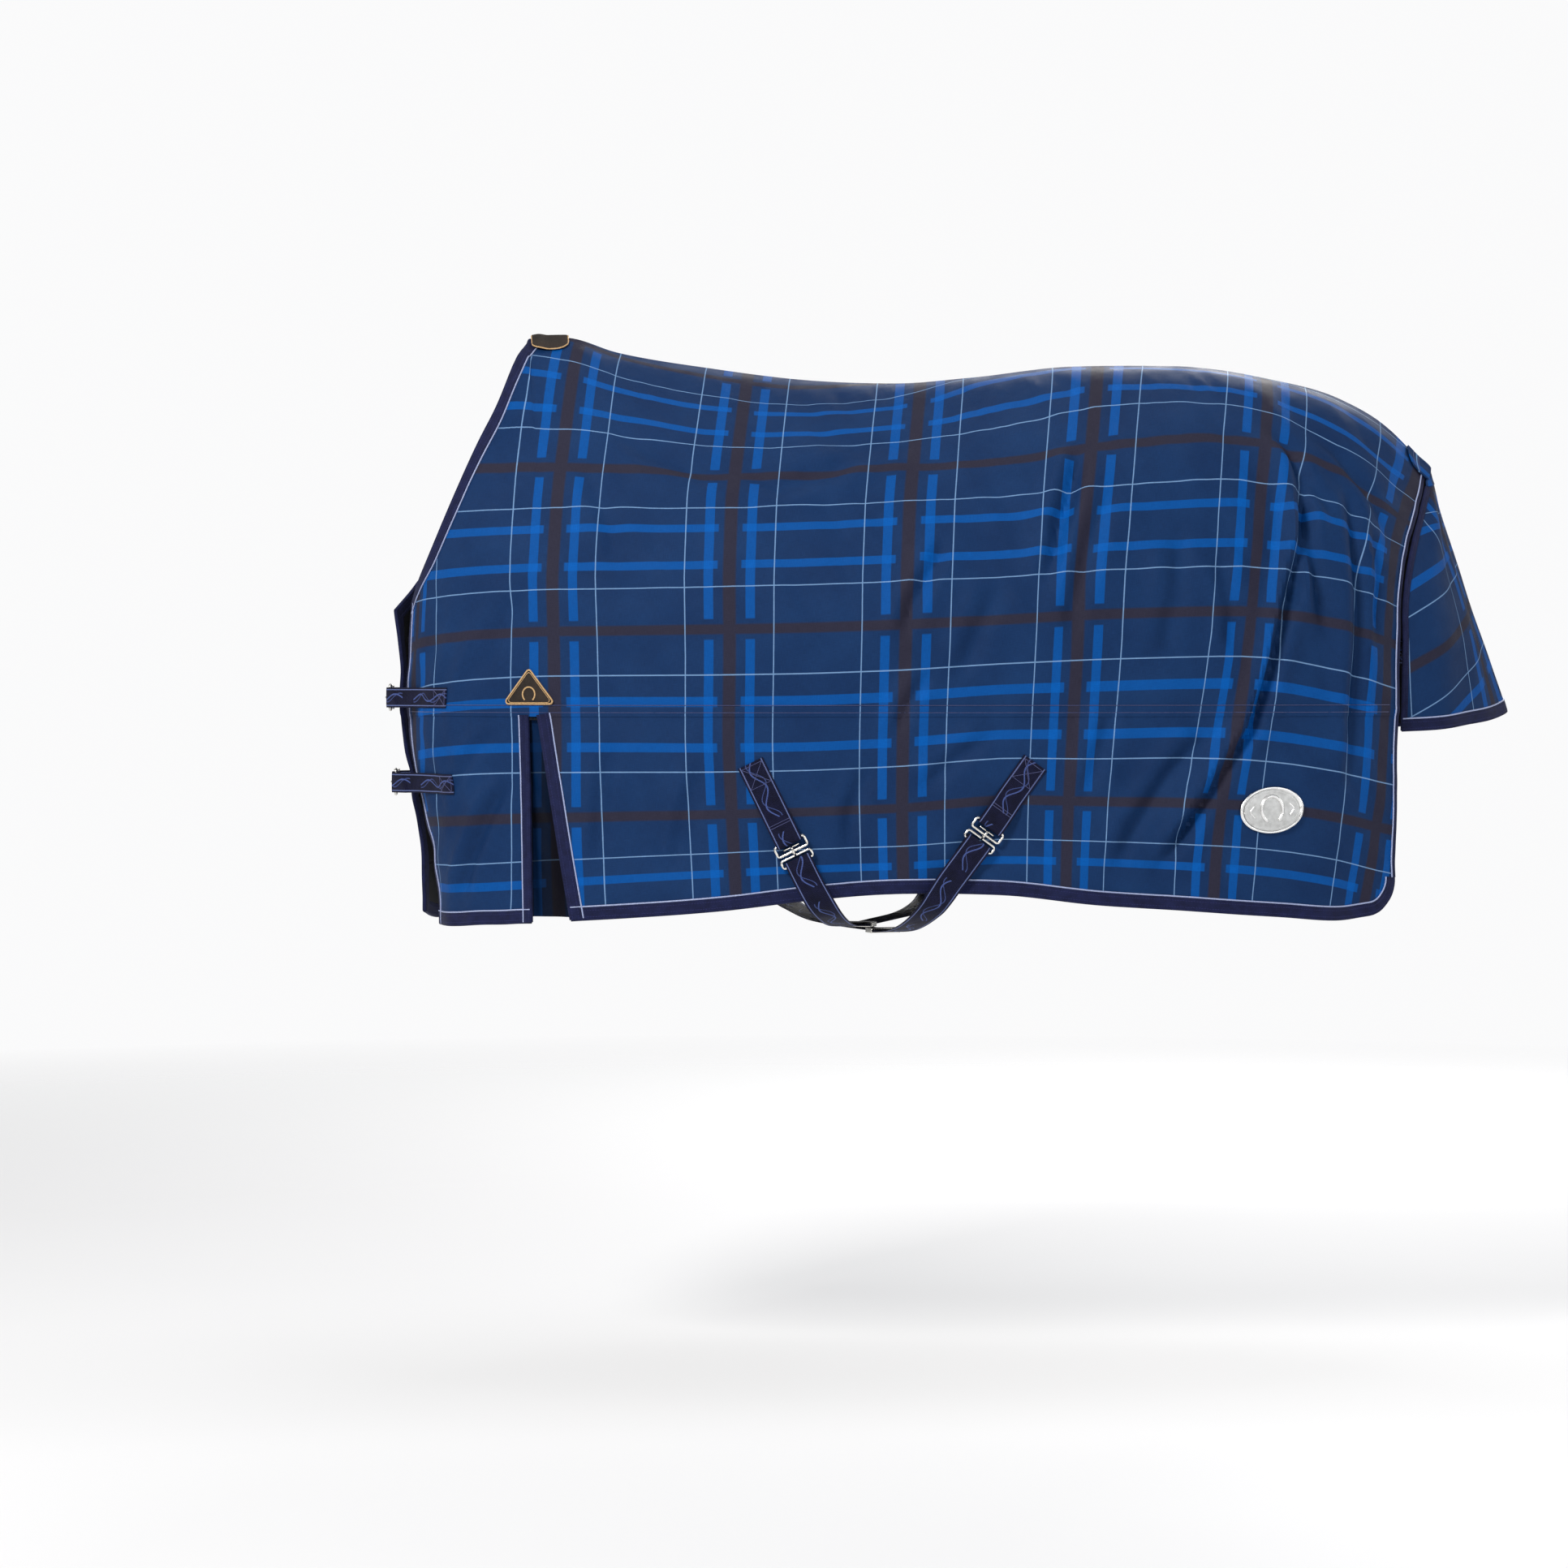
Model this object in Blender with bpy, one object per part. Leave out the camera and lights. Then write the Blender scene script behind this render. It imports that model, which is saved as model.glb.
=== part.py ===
# Turnout rug (horse blanket), modelled as it hangs on a horse, with the horse left out.
# Metres, +Z up. -X is the head end, -Y is the rug's near (left) side.
# Origin: the middle of the back, on the underside of the lining, where the rug rests on the horse.
import math

import bmesh
import bpy
import numpy as np
from mathutils import Matrix, Vector
from mathutils.bvhtree import BVHTree

for _o in list(bpy.data.objects):
    bpy.data.objects.remove(_o)

# ---------------------------------------------------------------- driving dimensions
SHELL_T = 0.0020        # outer shell, coated polyester with its backing
LINING_GAP = 0.0005
LINING_T = 0.0012
SEAM_Z = -0.500         # horizontal seam between the back panel and the lower panels
BIND_W = 0.016          # width of the edge binding on each face
BIND_T = 0.0011
BIND_GAP = 0.0010
WEB_W = 0.040           # belly webbing
WEB_T = 0.0016
CHEST_WEB_W = 0.030     # chest webbing
WIRE_R = 0.0020         # steel wire of the fittings
PLATE_BAR = 0.0150      # slot plate's free bar, from the bar its tab is sewn round
HOOK_BAR = 0.0330       # T hook's webbing bar, from the same place
LOOP_R = 0.0040         # webbing loop round a tab's bar
LOOP_R_HOOK = 0.0055    # looser loop round the T hook's bar
SLOT_FRONT_X = (-0.557, -0.551)   # shoulder slot's front edge, at the seam and at the hem
SLOT_REAR_X = (-0.541, -0.493)    # and its rear edge
COLS = 27               # columns of the shell from chest to rear edge
FRONT_COLS = 11         # of which, round the chest and neck
ROWS_UP = 8             # rows from the spine to the seam
ROWS_LOW = 5            # rows from the seam to the hem

# Pattern stations of one side, chest to rear edge: the top point (neckline or spine), the roof
# angle there, the widest point and the hem point. Y is the distance from the middle plane.
STATIONS = [
    # top x, y, z            roof  widest x, y, z           hem x, y, z
    ((-0.727, 0.030, -0.335), 88, (-0.733, 0.028, -0.470), (-0.687, 0.055, -0.814)),
    ((-0.716, 0.078, -0.303), 86, (-0.719, 0.088, -0.480), (-0.677, 0.105, -0.813)),
    ((-0.698, 0.116, -0.262), 80, (-0.692, 0.140, -0.480), (-0.656, 0.148, -0.811)),
    ((-0.662, 0.134, -0.178), 68, (-0.652, 0.184, -0.460), (-0.624, 0.188, -0.807)),
    ((-0.626, 0.124, -0.098), 56, (-0.607, 0.214, -0.430), (-0.590, 0.216, -0.805)),
    ((-0.596, 0.090, -0.036), 46, (-0.577, 0.230, -0.410), (-0.568, 0.232, -0.803)),
    ((-0.566, 0.036, 0.042), 42, (-0.551, 0.241, -0.395), (-0.548, 0.243, -0.802)),
    ((-0.550, 0.000, 0.074), 38, (-0.535, 0.247, -0.390), (-0.533, 0.248, -0.801)),
    ((-0.500, 0.000, 0.078), 36, (-0.490, 0.258, -0.385), (-0.488, 0.260, -0.798)),
    ((-0.418, 0.000, 0.053), 28, (-0.410, 0.276, -0.385), (-0.409, 0.278, -0.793)),
    ((-0.271, 0.000, 0.026), 18, (-0.270, 0.300, -0.390), (-0.270, 0.303, -0.781)),
    ((-0.123, 0.000, 0.008), 14, (-0.123, 0.312, -0.390), (-0.123, 0.314, -0.764)),
    ((0.000, 0.000, 0.004), 13, (0.000, 0.317, -0.385), (0.000, 0.318, -0.757)),
    ((0.125, 0.000, 0.014), 13, (0.125, 0.317, -0.375), (0.125, 0.318, -0.759)),
    ((0.274, 0.000, 0.031), 13, (0.272, 0.313, -0.350), (0.272, 0.316, -0.775)),
    ((0.424, 0.000, 0.033), 14, (0.415, 0.302, -0.330), (0.415, 0.306, -0.785)),
    ((0.574, 0.000, 0.016), 18, (0.545, 0.280, -0.325), (0.545, 0.285, -0.795)),
    ((0.690, 0.000, -0.014), 24, (0.640, 0.252, -0.335), (0.638, 0.256, -0.802)),
    ((0.765, 0.000, -0.057), 30, (0.700, 0.222, -0.350), (0.692, 0.226, -0.797)),
    ((0.822, 0.000, -0.112), 36, (0.737, 0.194, -0.370), (0.728, 0.200, -0.752)),
]
# The far (right) flap's front edge reaches a little further forward than the near one's.
STATIONS_FAR_TIP = [
    ((-0.754, 0.010, -0.345), 88, (-0.744, 0.012, -0.480), (-0.712, 0.030, -0.800)),
    ((-0.724, 0.072, -0.306), 86, (-0.727, 0.082, -0.480), (-0.690, 0.098, -0.812)),
]


def table_of(stations):
    rows = [list(t) + [r] + list(w) + list(h) for t, r, w, h in stations]
    a = np.array(rows, float)
    step = np.linalg.norm(np.diff(a[:, [4, 5]], axis=0), axis=1)
    return np.concatenate([[0], np.cumsum(step)]), a


WITHERS = 7
TABLES = {-1: table_of(STATIONS), 1: table_of(STATIONS_FAR_TIP + STATIONS[2:])}
U_WITHERS = {s: float(TABLES[s][0][WITHERS]) for s in (-1, 1)}


def hermite(side, u):
    """The station's ten numbers at distance u along the widest line, by a cubic through the stations."""
    k, a = TABLES[side]
    u = min(max(u, 0.0), k[-1])
    i = min(max(int(np.searchsorted(k, u)) - 1, 0), len(k) - 2)

    def tangent(j):
        if j == 0:
            return (a[1] - a[0]) / (k[1] - k[0])
        if j == len(k) - 1:
            return (a[-1] - a[-2]) / (k[-1] - k[-2])
        d0, d1 = (a[j] - a[j - 1]) / (k[j] - k[j - 1]), (a[j + 1] - a[j]) / (k[j + 1] - k[j])
        w0, w1 = k[j + 1] - k[j], k[j] - k[j - 1]
        m = (d0 * w0 + d1 * w1) / (w0 + w1)
        return np.where(d0 * d1 <= 0, 0, np.sign(m) * np.minimum(np.abs(m), 3 * np.minimum(np.abs(d0), np.abs(d1))))

    h = k[i + 1] - k[i]
    t = (u - k[i]) / h
    m0, m1 = tangent(i) * h, tangent(i + 1) * h
    if i + 1 == WITHERS:    # the neckline crosses the middle plane square on
        m1[0:3] = [0, 1.3 * (a[i + 1][1] - a[i][1]), 0.45 * (a[i + 1][2] - a[i][2])]
    return (2 * t**3 - 3 * t**2 + 1) * a[i] + (t**3 - 2 * t**2 + t) * m0 + (-2 * t**3 + 3 * t**2) * a[i + 1] + (t**3 - t**2) * m1


def bezier(p, n):
    t = np.linspace(0, 1, n)[:, None]
    return (1 - t) ** 3 * p[0] + 3 * (1 - t) ** 2 * t * p[1] + 3 * (1 - t) * t**2 * p[2] + t**3 * p[3]


_columns = {}


def column(side, u):
    """One column of the drape from its top point to the hem: points, and distance along it."""
    key = (side, round(u, 6))
    if key not in _columns:
        r = hermite(side, u)
        top, roof, wide, hem = r[0:3], math.radians(r[3]), r[4:7], r[7:10]
        drop, half = top[2] - wide[2], max(wide[1] - top[1], 0.02)
        h1 = min(0.55 * half / max(math.cos(roof), 0.3), 0.55 * drop)
        p1 = top + np.array([0.35 * (wide[0] - top[0]), h1 * math.cos(roof), -h1 * math.sin(roof)])
        p2 = wide + np.array([0, 0, 0.45 * drop])
        low = wide[2] - hem[2]
        q1, q2 = wide - np.array([0, 0, 0.35 * low]), hem + np.array([0, 0, 0.35 * low])
        pts = np.concatenate([bezier([top, p1, p2, wide], 41), bezier([wide, q1, q2, hem], 21)[1:]])
        pts[:, 1] *= side
        d = np.concatenate([[0], np.cumsum(np.linalg.norm(np.diff(pts, axis=0), axis=1))])
        _columns[key] = (pts, d)
    return _columns[key]


def at(side, u, d):
    """Point at distance d down the column."""
    pts, dist = column(side, u)
    return np.array([np.interp(d, dist, pts[:, k]) for k in range(3)])


def length_of(side, u):
    return column(side, u)[1][-1]


def depth_at_z(side, u, z):
    """Distance down the column to height z."""
    pts, dist = column(side, u)
    return float(np.interp(-z, -pts[:, 2], dist))


def normal(side, u, d):
    top = TABLES[side][0][-1]
    e = 0.004
    u0, u1 = max(u - e, 0), min(u + e, top)
    share = d / length_of(side, u)
    a = at(side, u1, share * length_of(side, u1)) - at(side, u0, share * length_of(side, u0))
    d0, d1 = max(d - e, 0), min(d + e, length_of(side, u))
    b = at(side, u, d1) - at(side, u, d0)
    n = np.cross(a, b) * side
    return n / np.linalg.norm(n)


def u_at_x(side, x, z):
    """Distance u of the column that passes x at height z."""
    lo, hi = 0.0, float(TABLES[side][0][-1])
    for _ in range(40):
        mid = (lo + hi) / 2
        if at(side, mid, depth_at_z(side, mid, z))[0] < x:
            lo = mid
        else:
            hi = mid
    return (lo + hi) / 2


# ---------------------------------------------------------------- materials and mesh helpers
def material(name, colour, rough=0.6, metal=0.0):
    m = bpy.data.materials.get(name) or bpy.data.materials.new(name)
    m.use_nodes = True
    b = m.node_tree.nodes["Principled BSDF"]
    b.inputs["Base Color"].default_value = (*colour, 1)
    b.inputs["Roughness"].default_value = rough
    b.inputs["Metallic"].default_value = metal
    m.diffuse_color = (*colour, 1)
    return m


SHELL = material("shell_plaid", (0.020, 0.055, 0.130), 0.6)
LINING = material("lining_nylon", (0.008, 0.009, 0.020), 0.45)
BINDING = material("binding", (0.015, 0.017, 0.060), 0.7)
WEBBING = material("webbing", (0.015, 0.017, 0.055), 0.75)
STEEL = material("steel", (0.75, 0.74, 0.70), 0.25, 1.0)
LEATHER = material("leather", (0.045, 0.032, 0.024), 0.5)
SILVER = material("silver_badge", (0.62, 0.61, 0.58), 0.3, 1.0)


def make(name, verts, faces, mat, smooth=True):
    me = bpy.data.meshes.new(name)
    me.from_pydata([tuple(map(float, v)) for v in verts], [], faces)
    me.validate()
    bm = bmesh.new()
    bm.from_mesh(me)
    bmesh.ops.recalc_face_normals(bm, faces=bm.faces)
    bm.to_mesh(me)
    bm.free()
    me.materials.append(mat)
    if smooth:
        me.shade_smooth()
        me.set_sharp_from_angle(angle=math.radians(35))
    o = bpy.data.objects.new(name, me)
    bpy.context.scene.collection.objects.link(o)
    return o


def thicken(points, normals, faces, out, inner):
    """Closed solid between two offsets of an open surface, with walls along its edges."""
    points, normals = np.array(points), np.array(normals)
    n = len(points)
    verts = np.concatenate([points + normals * out, points + normals * inner])
    solid = [tuple(f) for f in faces] + [tuple(i + n for i in reversed(f)) for f in faces]
    count = {}
    for f in faces:
        for a, b in zip(f, list(f[1:]) + [f[0]]):
            count[(a, b)] = count.get((a, b), 0) + 1
    for a, b in list(count):
        if (b, a) not in count:
            solid.append((b, a, a + n, b + n))
    return verts, solid


def grid_faces(nu, nv):
    """Triangles of a grid, split the same way everywhere so that stacked layers stay parallel."""
    out = []
    for i in range(nu - 1):
        for j in range(nv - 1):
            a, b, c, d = (i * nv + j, (i + 1) * nv + j, (i + 1) * nv + j + 1, i * nv + j + 1)
            out += [(a, b, c), (a, c, d)]
    return out


def oriented(faces, points, normals):
    """The faces, all turned together if need be, so that they face along the normals."""
    points, normals = np.array(points), np.array(normals)
    total = 0.0
    for f in faces:
        p = points[list(f)]
        n = np.cross(p[1] - p[0], p[2] - p[0]) + np.cross(p[2] - p[0], p[-1] - p[0])
        total += n @ normals[list(f)].sum(0)
    return [tuple(f) if total > 0 else tuple(reversed(f)) for f in faces]


def columns_of(side):
    """Column positions: closer together round the chest, then even along the body."""
    top, w = float(TABLES[side][0][-1]), U_WITHERS[side]
    front = [w * (i / FRONT_COLS) for i in range(FRONT_COLS + 1)]
    rest = [w + (top - w) * (i / (COLS - FRONT_COLS)) for i in range(1, COLS - FRONT_COLS + 1)]
    return front + rest


def surface_grid(side, us, starts, ends, rows):
    """Points and normals of the drape between two depths on each column."""
    pts, nrm = [], []
    for u, d0, d1 in zip(us, starts, ends):
        for j in range(rows + 1):
            d = d0 + (d1 - d0) * j / rows
            pts.append(at(side, u, d))
            n = normal(side, u, d)
            if d < 1e-9 and u >= U_WITHERS[side] - 1e-9:
                n = np.array([n[0], 0, n[2]])
                n /= np.linalg.norm(n)
            nrm.append(n)
    return pts, nrm


def back_panel(name, out, inner, mat):
    """Seamless upper panel: over the back, down to the seam on both sides, and round the neck to the chest."""
    points, normals, faces, where = [], [], [], {}
    for side in (-1, 1):
        us = columns_of(side)
        p, n = surface_grid(side, us, [0] * len(us), [depth_at_z(side, u, SEAM_Z) for u in us], ROWS_UP)
        ids = []
        for i in range(len(us)):
            for j in range(ROWS_UP + 1):
                q = p[i * (ROWS_UP + 1) + j]
                key = tuple(np.round(q, 5)) if j == 0 and i >= FRONT_COLS else (side, i, j)
                if key not in where:
                    where[key] = len(points)
                    points.append(q)
                    normals.append(n[i * (ROWS_UP + 1) + j])
                ids.append(where[key])
        faces += oriented([tuple(ids[k] for k in f) for f in grid_faces(len(us), ROWS_UP + 1)], points, normals)
    v, f = thicken(points, normals, faces, out, inner)
    return make(name, v, f, mat)


def lower_panel(name, side, part, out, inner, mat):
    """Chest part: from the front edge to the shoulder slot. Side part: from the slot to the rear edge."""
    rows = ROWS_LOW
    cols = 8 if part == "chest" else 15
    points, normals = [], []
    seam = SEAM_Z - 0.0004
    for i in range(cols + 1):
        for j in range(rows + 1):
            s = j / rows
            if part == "chest":
                edge = SLOT_FRONT_X[0] + (SLOT_FRONT_X[1] - SLOT_FRONT_X[0]) * s
                end = u_at_x(side, edge, seam + (-0.80 - seam) * s)
                u = end * i / cols
            else:
                edge = SLOT_REAR_X[0] + (SLOT_REAR_X[1] - SLOT_REAR_X[0]) * s
                begin = u_at_x(side, edge, seam + (-0.795 - seam) * s)
                u = begin + (float(TABLES[side][0][-1]) - begin) * i / cols
            d0 = depth_at_z(side, u, seam)
            d = d0 + (length_of(side, u) - d0) * s
            points.append(at(side, u, d))
            normals.append(normal(side, u, d))
    faces = oriented(grid_faces(cols + 1, rows + 1), points, normals)
    v, f = thicken(points, normals, faces, out, inner)
    make(name, v, f, mat)
    return points, normals, cols, rows


def binding(name, path, normals, inside, inside_normals, off=0.0):
    """U-shaped tape round an edge. The panel's strip along the edge runs from path to inside, so the tape lies parallel to it."""
    total_in = -(SHELL_T + LINING_GAP + LINING_T)
    g, t, w = BIND_GAP, BIND_T, BIND_W
    verts = []
    for i in range(len(path)):
        p, q = np.array(path[i]), np.array(inside[i])
        a, b = np.array(path[max(i - 1, 0)]), np.array(path[min(i + 1, len(path) - 1)])
        tangent = (b - a) / np.linalg.norm(b - a)
        row = q - p
        reach = np.linalg.norm(row)
        row /= reach
        across = row - tangent * (row @ tangent)
        stretch = min(1.0 / max(np.linalg.norm(across), 0.5), 1.6)
        e = -across / np.linalg.norm(across)
        depth = w * stretch
        n0 = np.array(normals[i])
        n1 = np.array(inside_normals[i])
        share = depth / reach
        nq = n0 * (1 - share) + n1 * share
        nq /= np.linalg.norm(nq)
        n0 = n0 / np.linalg.norm(n0)
        inner = p + row * depth
        for base, n, h in ((inner, nq, g), (inner, nq, g + t), (p + e * (g + t), n0, g + t), (p + e * (g + t), n0, total_in - g - t),
                           (inner, nq, total_in - g - t), (inner, nq, total_in - g), (p + e * g, n0, total_in - g), (p + e * g, n0, g)):
            verts.append(base + n * (h + off))
    m = 8
    faces = []
    for i in range(len(path) - 1):
        for j in range(m):
            faces.append((i * m + j, i * m + (j + 1) % m, (i + 1) * m + (j + 1) % m, (i + 1) * m + j))
    faces += [tuple(reversed(range(m))), tuple(range((len(path) - 1) * m, len(path) * m))]
    return make(name, verts, faces, BINDING)


def ribbon(name, path, normals, width, thick, mat):
    """Flat webbing along a path, its face towards the normals."""
    path = [np.array(p, float) for p in path]
    frames = []
    for i, p in enumerate(path):
        a, b = path[max(i - 1, 0)], path[min(i + 1, len(path) - 1)]
        tangent = (b - a) / np.linalg.norm(b - a)
        n = np.array(normals[i], float)
        n = n - tangent * (n @ tangent)
        n /= np.linalg.norm(n)
        frames.append((np.cross(tangent, n), n))
    w, t = width / 2, thick / 2
    verts = [p + e * a + n * b for p, (e, n) in zip(path, frames) for a, b in ((-w, -t), (-w, t), (w, t), (w, -t))]
    faces = []
    for i in range(len(path) - 1):
        a, b = 4 * i, 4 * i + 4
        faces += [(a, a + 1, b + 1, b), (a + 2, a + 3, b + 3, b + 2)]
        faces += [(a + 1, a + 2, b + 2), (a + 1, b + 2, b + 1), (a, b + 3, a + 3), (a, b, b + 3)]
    last = 4 * (len(path) - 1)
    faces += [(3, 2, 1, 0), (last, last + 1, last + 2, last + 3)]
    return make(name, verts, faces, mat)


# ---------------------------------------------------------------- shell and lining
INNER = -(SHELL_T + LINING_GAP)
back_panel("back_panel", 0.0, -SHELL_T, SHELL)
back_panel("back_lining", INNER, INNER - LINING_T, LINING)
SIDES = {-1: "left", 1: "right"}
GRIDS = {}
for side, word in SIDES.items():
    for part in ("chest", "side"):
        GRIDS[(side, part)] = lower_panel(f"{part}_panel_{word}", side, part, 0.0, -SHELL_T, SHELL)
        lower_panel(f"{part}_lining_{word}", side, part, INNER, INNER - LINING_T, LINING)

# ---------------------------------------------------------------- edge binding
def blend_pair(a, b, t):
    return (np.array(a[0]) * (1 - t) + np.array(b[0]) * t, np.array(a[1]) * (1 - t) + np.array(b[1]) * t)


def bind(name, edge, inner):
    """Binding from (point, normal) pairs on the edge and one grid step inside it."""
    return binding(name, [q[0] for q in edge], [q[1] for q in edge], [q[0] for q in inner], [q[1] for q in inner])


for side, word in SIDES.items():
    upper = columns_of(side)
    end = upper[-1]

    def up(u, j, s=side):
        d = depth_at_z(s, u, SEAM_Z) * j / ROWS_UP
        return (at(s, u, d), normal(s, u, d))

    def chest(i, j, grid=GRIDS[(side, "chest")]):
        k = i * (grid[3] + 1) + j
        return (grid[0][k], grid[1][k])

    def flank(i, j, grid=GRIDS[(side, "side")]):
        k = i * (grid[3] + 1) + j
        return (grid[0][k], grid[1][k])

    ce, fe, R = GRIDS[(side, "chest")][2], GRIDS[(side, "side")][2], ROWS_LOW
    # lower chest panel: its hem, from the front edge to the slot
    edge = [blend_pair(chest(0, R), chest(1, R), 0.60)] + [chest(i, R) for i in range(1, ce)] + [blend_pair(chest(ce - 1, R), chest(ce, R), 0.30)]
    inner = [blend_pair(chest(0, R - 1), chest(1, R - 1), 0.60)] + [chest(i, R - 1) for i in range(1, ce)] + [blend_pair(chest(ce - 1, R - 1), chest(ce, R - 1), 0.30)]
    bind(f"chest_hem_binding_{word}", edge, inner)
    bind(f"slot_front_binding_{word}", [chest(ce, j) for j in range(R + 1)], [chest(ce - 1, j) for j in range(R + 1)])
    bind(f"front_edge_binding_{word}", [up(0.0, j) for j in range(1, ROWS_UP + 1)] + [chest(0, j) for j in range(1, R + 1)],
         [up(upper[1], j) for j in range(1, ROWS_UP + 1)] + [chest(1, j) for j in range(1, R + 1)])
    bind(f"slot_rear_binding_{word}", [flank(0, j) for j in range(R + 1)], [flank(1, j) for j in range(R + 1)])
    # side panel: the hem, and then the rear edge up to the dock
    edge = [blend_pair(flank(0, R), flank(1, R), 0.42)] + [flank(i, R) for i in range(1, fe)] + [blend_pair(flank(fe - 1, R), flank(fe, R), 0.55)]
    inner = [blend_pair(flank(0, R - 1), flank(1, R - 1), 0.42)] + [flank(i, R - 1) for i in range(1, fe)] + [blend_pair(flank(fe - 1, R - 1), flank(fe, R - 1), 0.55)]
    bind(f"hem_binding_{word}", edge, inner)
    bind(f"rear_edge_binding_{word}", [up(end, j) for j in range(1, ROWS_UP + 1)] + [flank(fe, j) for j in range(1, R + 1)],
         [up(upper[-2], j) for j in range(1, ROWS_UP + 1)] + [flank(fe - 1, j) for j in range(1, R + 1)])

# neckline binding, from the near chest corner over the withers to the far one
edge, inner = [], []
for side in (-1, 1):
    us = columns_of(side)
    half_e = [(at(side, u, 0.0), normal(side, u, 0.0)) for u in us[:FRONT_COLS]]
    half_i = []
    for u in us[:FRONT_COLS]:
        d = depth_at_z(side, u, SEAM_Z) / ROWS_UP
        half_i.append((at(side, u, d), normal(side, u, d)))
    if side == -1:
        edge, inner = half_e, half_i
        for u, out in ((us[FRONT_COLS], edge), (us[FRONT_COLS + 1], inner)):
            n = normal(side, u, 0.0)
            out.append((at(side, u, 0.0), np.array([n[0], 0, n[2]])))
    else:
        edge, inner = edge + half_e[::-1], inner + half_i[::-1]


def laid_binding(name, edge, inner, over, under):
    """Binding tape whose two faces are laid on the outer shell and on the lining."""
    tops, bottoms = (BVHTree.FromPolygons([v.co for v in o.data.vertices], [tuple(f.vertices) for f in o.data.polygons]) for o in (over, under))
    path = []
    for (p, n), (q, _) in zip(edge, inner):
        path.append((np.array(p), np.array(n) / np.linalg.norm(n), np.array(q)))
    fine = []
    for i, (p, n, q) in enumerate(path):
        fine.append((p, n, q))
        if i + 1 < len(path):
            r, m, t = path[i + 1]
            fine.append(((p + r) / 2, (n + m) / np.linalg.norm(n + m), (q + t) / 2))
    g, t, w = 0.0034, BIND_T, BIND_W
    rim = -(SHELL_T + LINING_GAP + LINING_T)
    verts = []
    for i, (p, n, q) in enumerate(fine):
        tangent = fine[min(i + 1, len(fine) - 1)][0] - fine[max(i - 1, 0)][0]
        tangent /= np.linalg.norm(tangent)
        e = np.cross(n, tangent)
        e /= np.linalg.norm(e)
        if e @ (p - q) < 0:
            e = -e
        n = np.cross(e, tangent) * (1 if np.cross(e, tangent) @ n > 0 else -1)
        rows = []
        for share in (1.0, 0.5):
            x = p - e * w * share
            hit = tops.ray_cast(Vector(x + n * 0.02), Vector(-n), 0.03)
            if hit[0] is None:
                hit = tops.find_nearest(Vector(x + n * 0.012))
            low = bottoms.ray_cast(Vector(x - n * 0.02), Vector(n), 0.03)
            if low[0] is None:
                low = bottoms.find_nearest(Vector(x - n * 0.014))
            rows.append((np.array(hit[0]), np.array(hit[1]), np.array(low[0]), np.array(low[1])))
        up = [(r[0] + r[1] * g, r[0] + r[1] * (g + t)) for r in rows]
        dn = [(r[2] + r[3] * g, r[2] + r[3] * (g + t)) for r in rows]
        verts += [up[0][0], up[0][1], up[1][1], p + e * (g + t) + n * (g + t), p + e * (g + t) + n * (rim - g - t), dn[1][1], dn[0][1],
                  dn[0][0], dn[1][0], p + e * g + n * (rim - g), p + e * g + n * g, up[1][0]]
    m = 12
    faces = []
    for i in range(len(fine) - 1):
        for j in range(m):
            a, b, c, d = i * m + j, i * m + (j + 1) % m, (i + 1) * m + (j + 1) % m, (i + 1) * m + j
            faces += [(a, b, c), (a, c, d)] if j < 6 else [(a, b, d), (b, c, d)]
    k = (len(fine) - 1) * m
    for base, flip in ((0, True), (k, False)):
        cap = [(0, 1, 2, 11), (11, 2, 3, 10), (10, 3, 4, 9), (9, 4, 5, 8), (8, 5, 6, 7)]
        faces += [tuple(base + v for v in (reversed(f) if flip else f)) for f in cap]
    return make(name, verts, faces, BINDING)


laid_binding("neck_binding", edge[1:-1], inner[1:-1], bpy.data.objects["back_panel"], bpy.data.objects["back_lining"])

# ---------------------------------------------------------------- shoulder gussets
for side, word in SIDES.items():
    points, normals = [], []
    rows, cols = 4, 4
    for i in range(cols + 1):
        for j in range(rows + 1):
            s = j / rows
            z = -0.490 + (-0.795 + 0.490) * s
            x0 = SLOT_FRONT_X[0] - 0.022
            x1 = SLOT_REAR_X[0] + (SLOT_REAR_X[1] - SLOT_REAR_X[0]) * s + 0.020
            x = x0 + (x1 - x0) * i / cols
            u = u_at_x(side, x, z)
            d = depth_at_z(side, u, z)
            n = normal(side, u, d)
            points.append(at(side, u, d) - n * (0.0075 + 0.016 * s * math.sin(math.pi * i / cols)))
            normals.append(n)
    faces = oriented(grid_faces(cols + 1, rows + 1), points, normals)
    v, f = thicken(points, normals, faces, 0.0, -0.0015)
    make(f"gusset_insert_{word}", v, f, SHELL)


def frame_at(side, x, z, direction, lift):
    """Local frame on the drape: Y runs along the direction in the surface, Z stands off it."""
    u = u_at_x(side, x, z)
    d = depth_at_z(side, u, z)
    p, n = at(side, u, d), normal(side, u, d)
    y = np.array([direction[0], 0, direction[1]], float)
    y -= n * (y @ n)
    y /= np.linalg.norm(y)
    xx = np.cross(y, n)
    m = Matrix(((xx[0], y[0], n[0]), (xx[1], y[1], n[1]), (xx[2], y[2], n[2]))).to_4x4()
    m.translation = Vector(p + n * lift)
    return m


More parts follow.
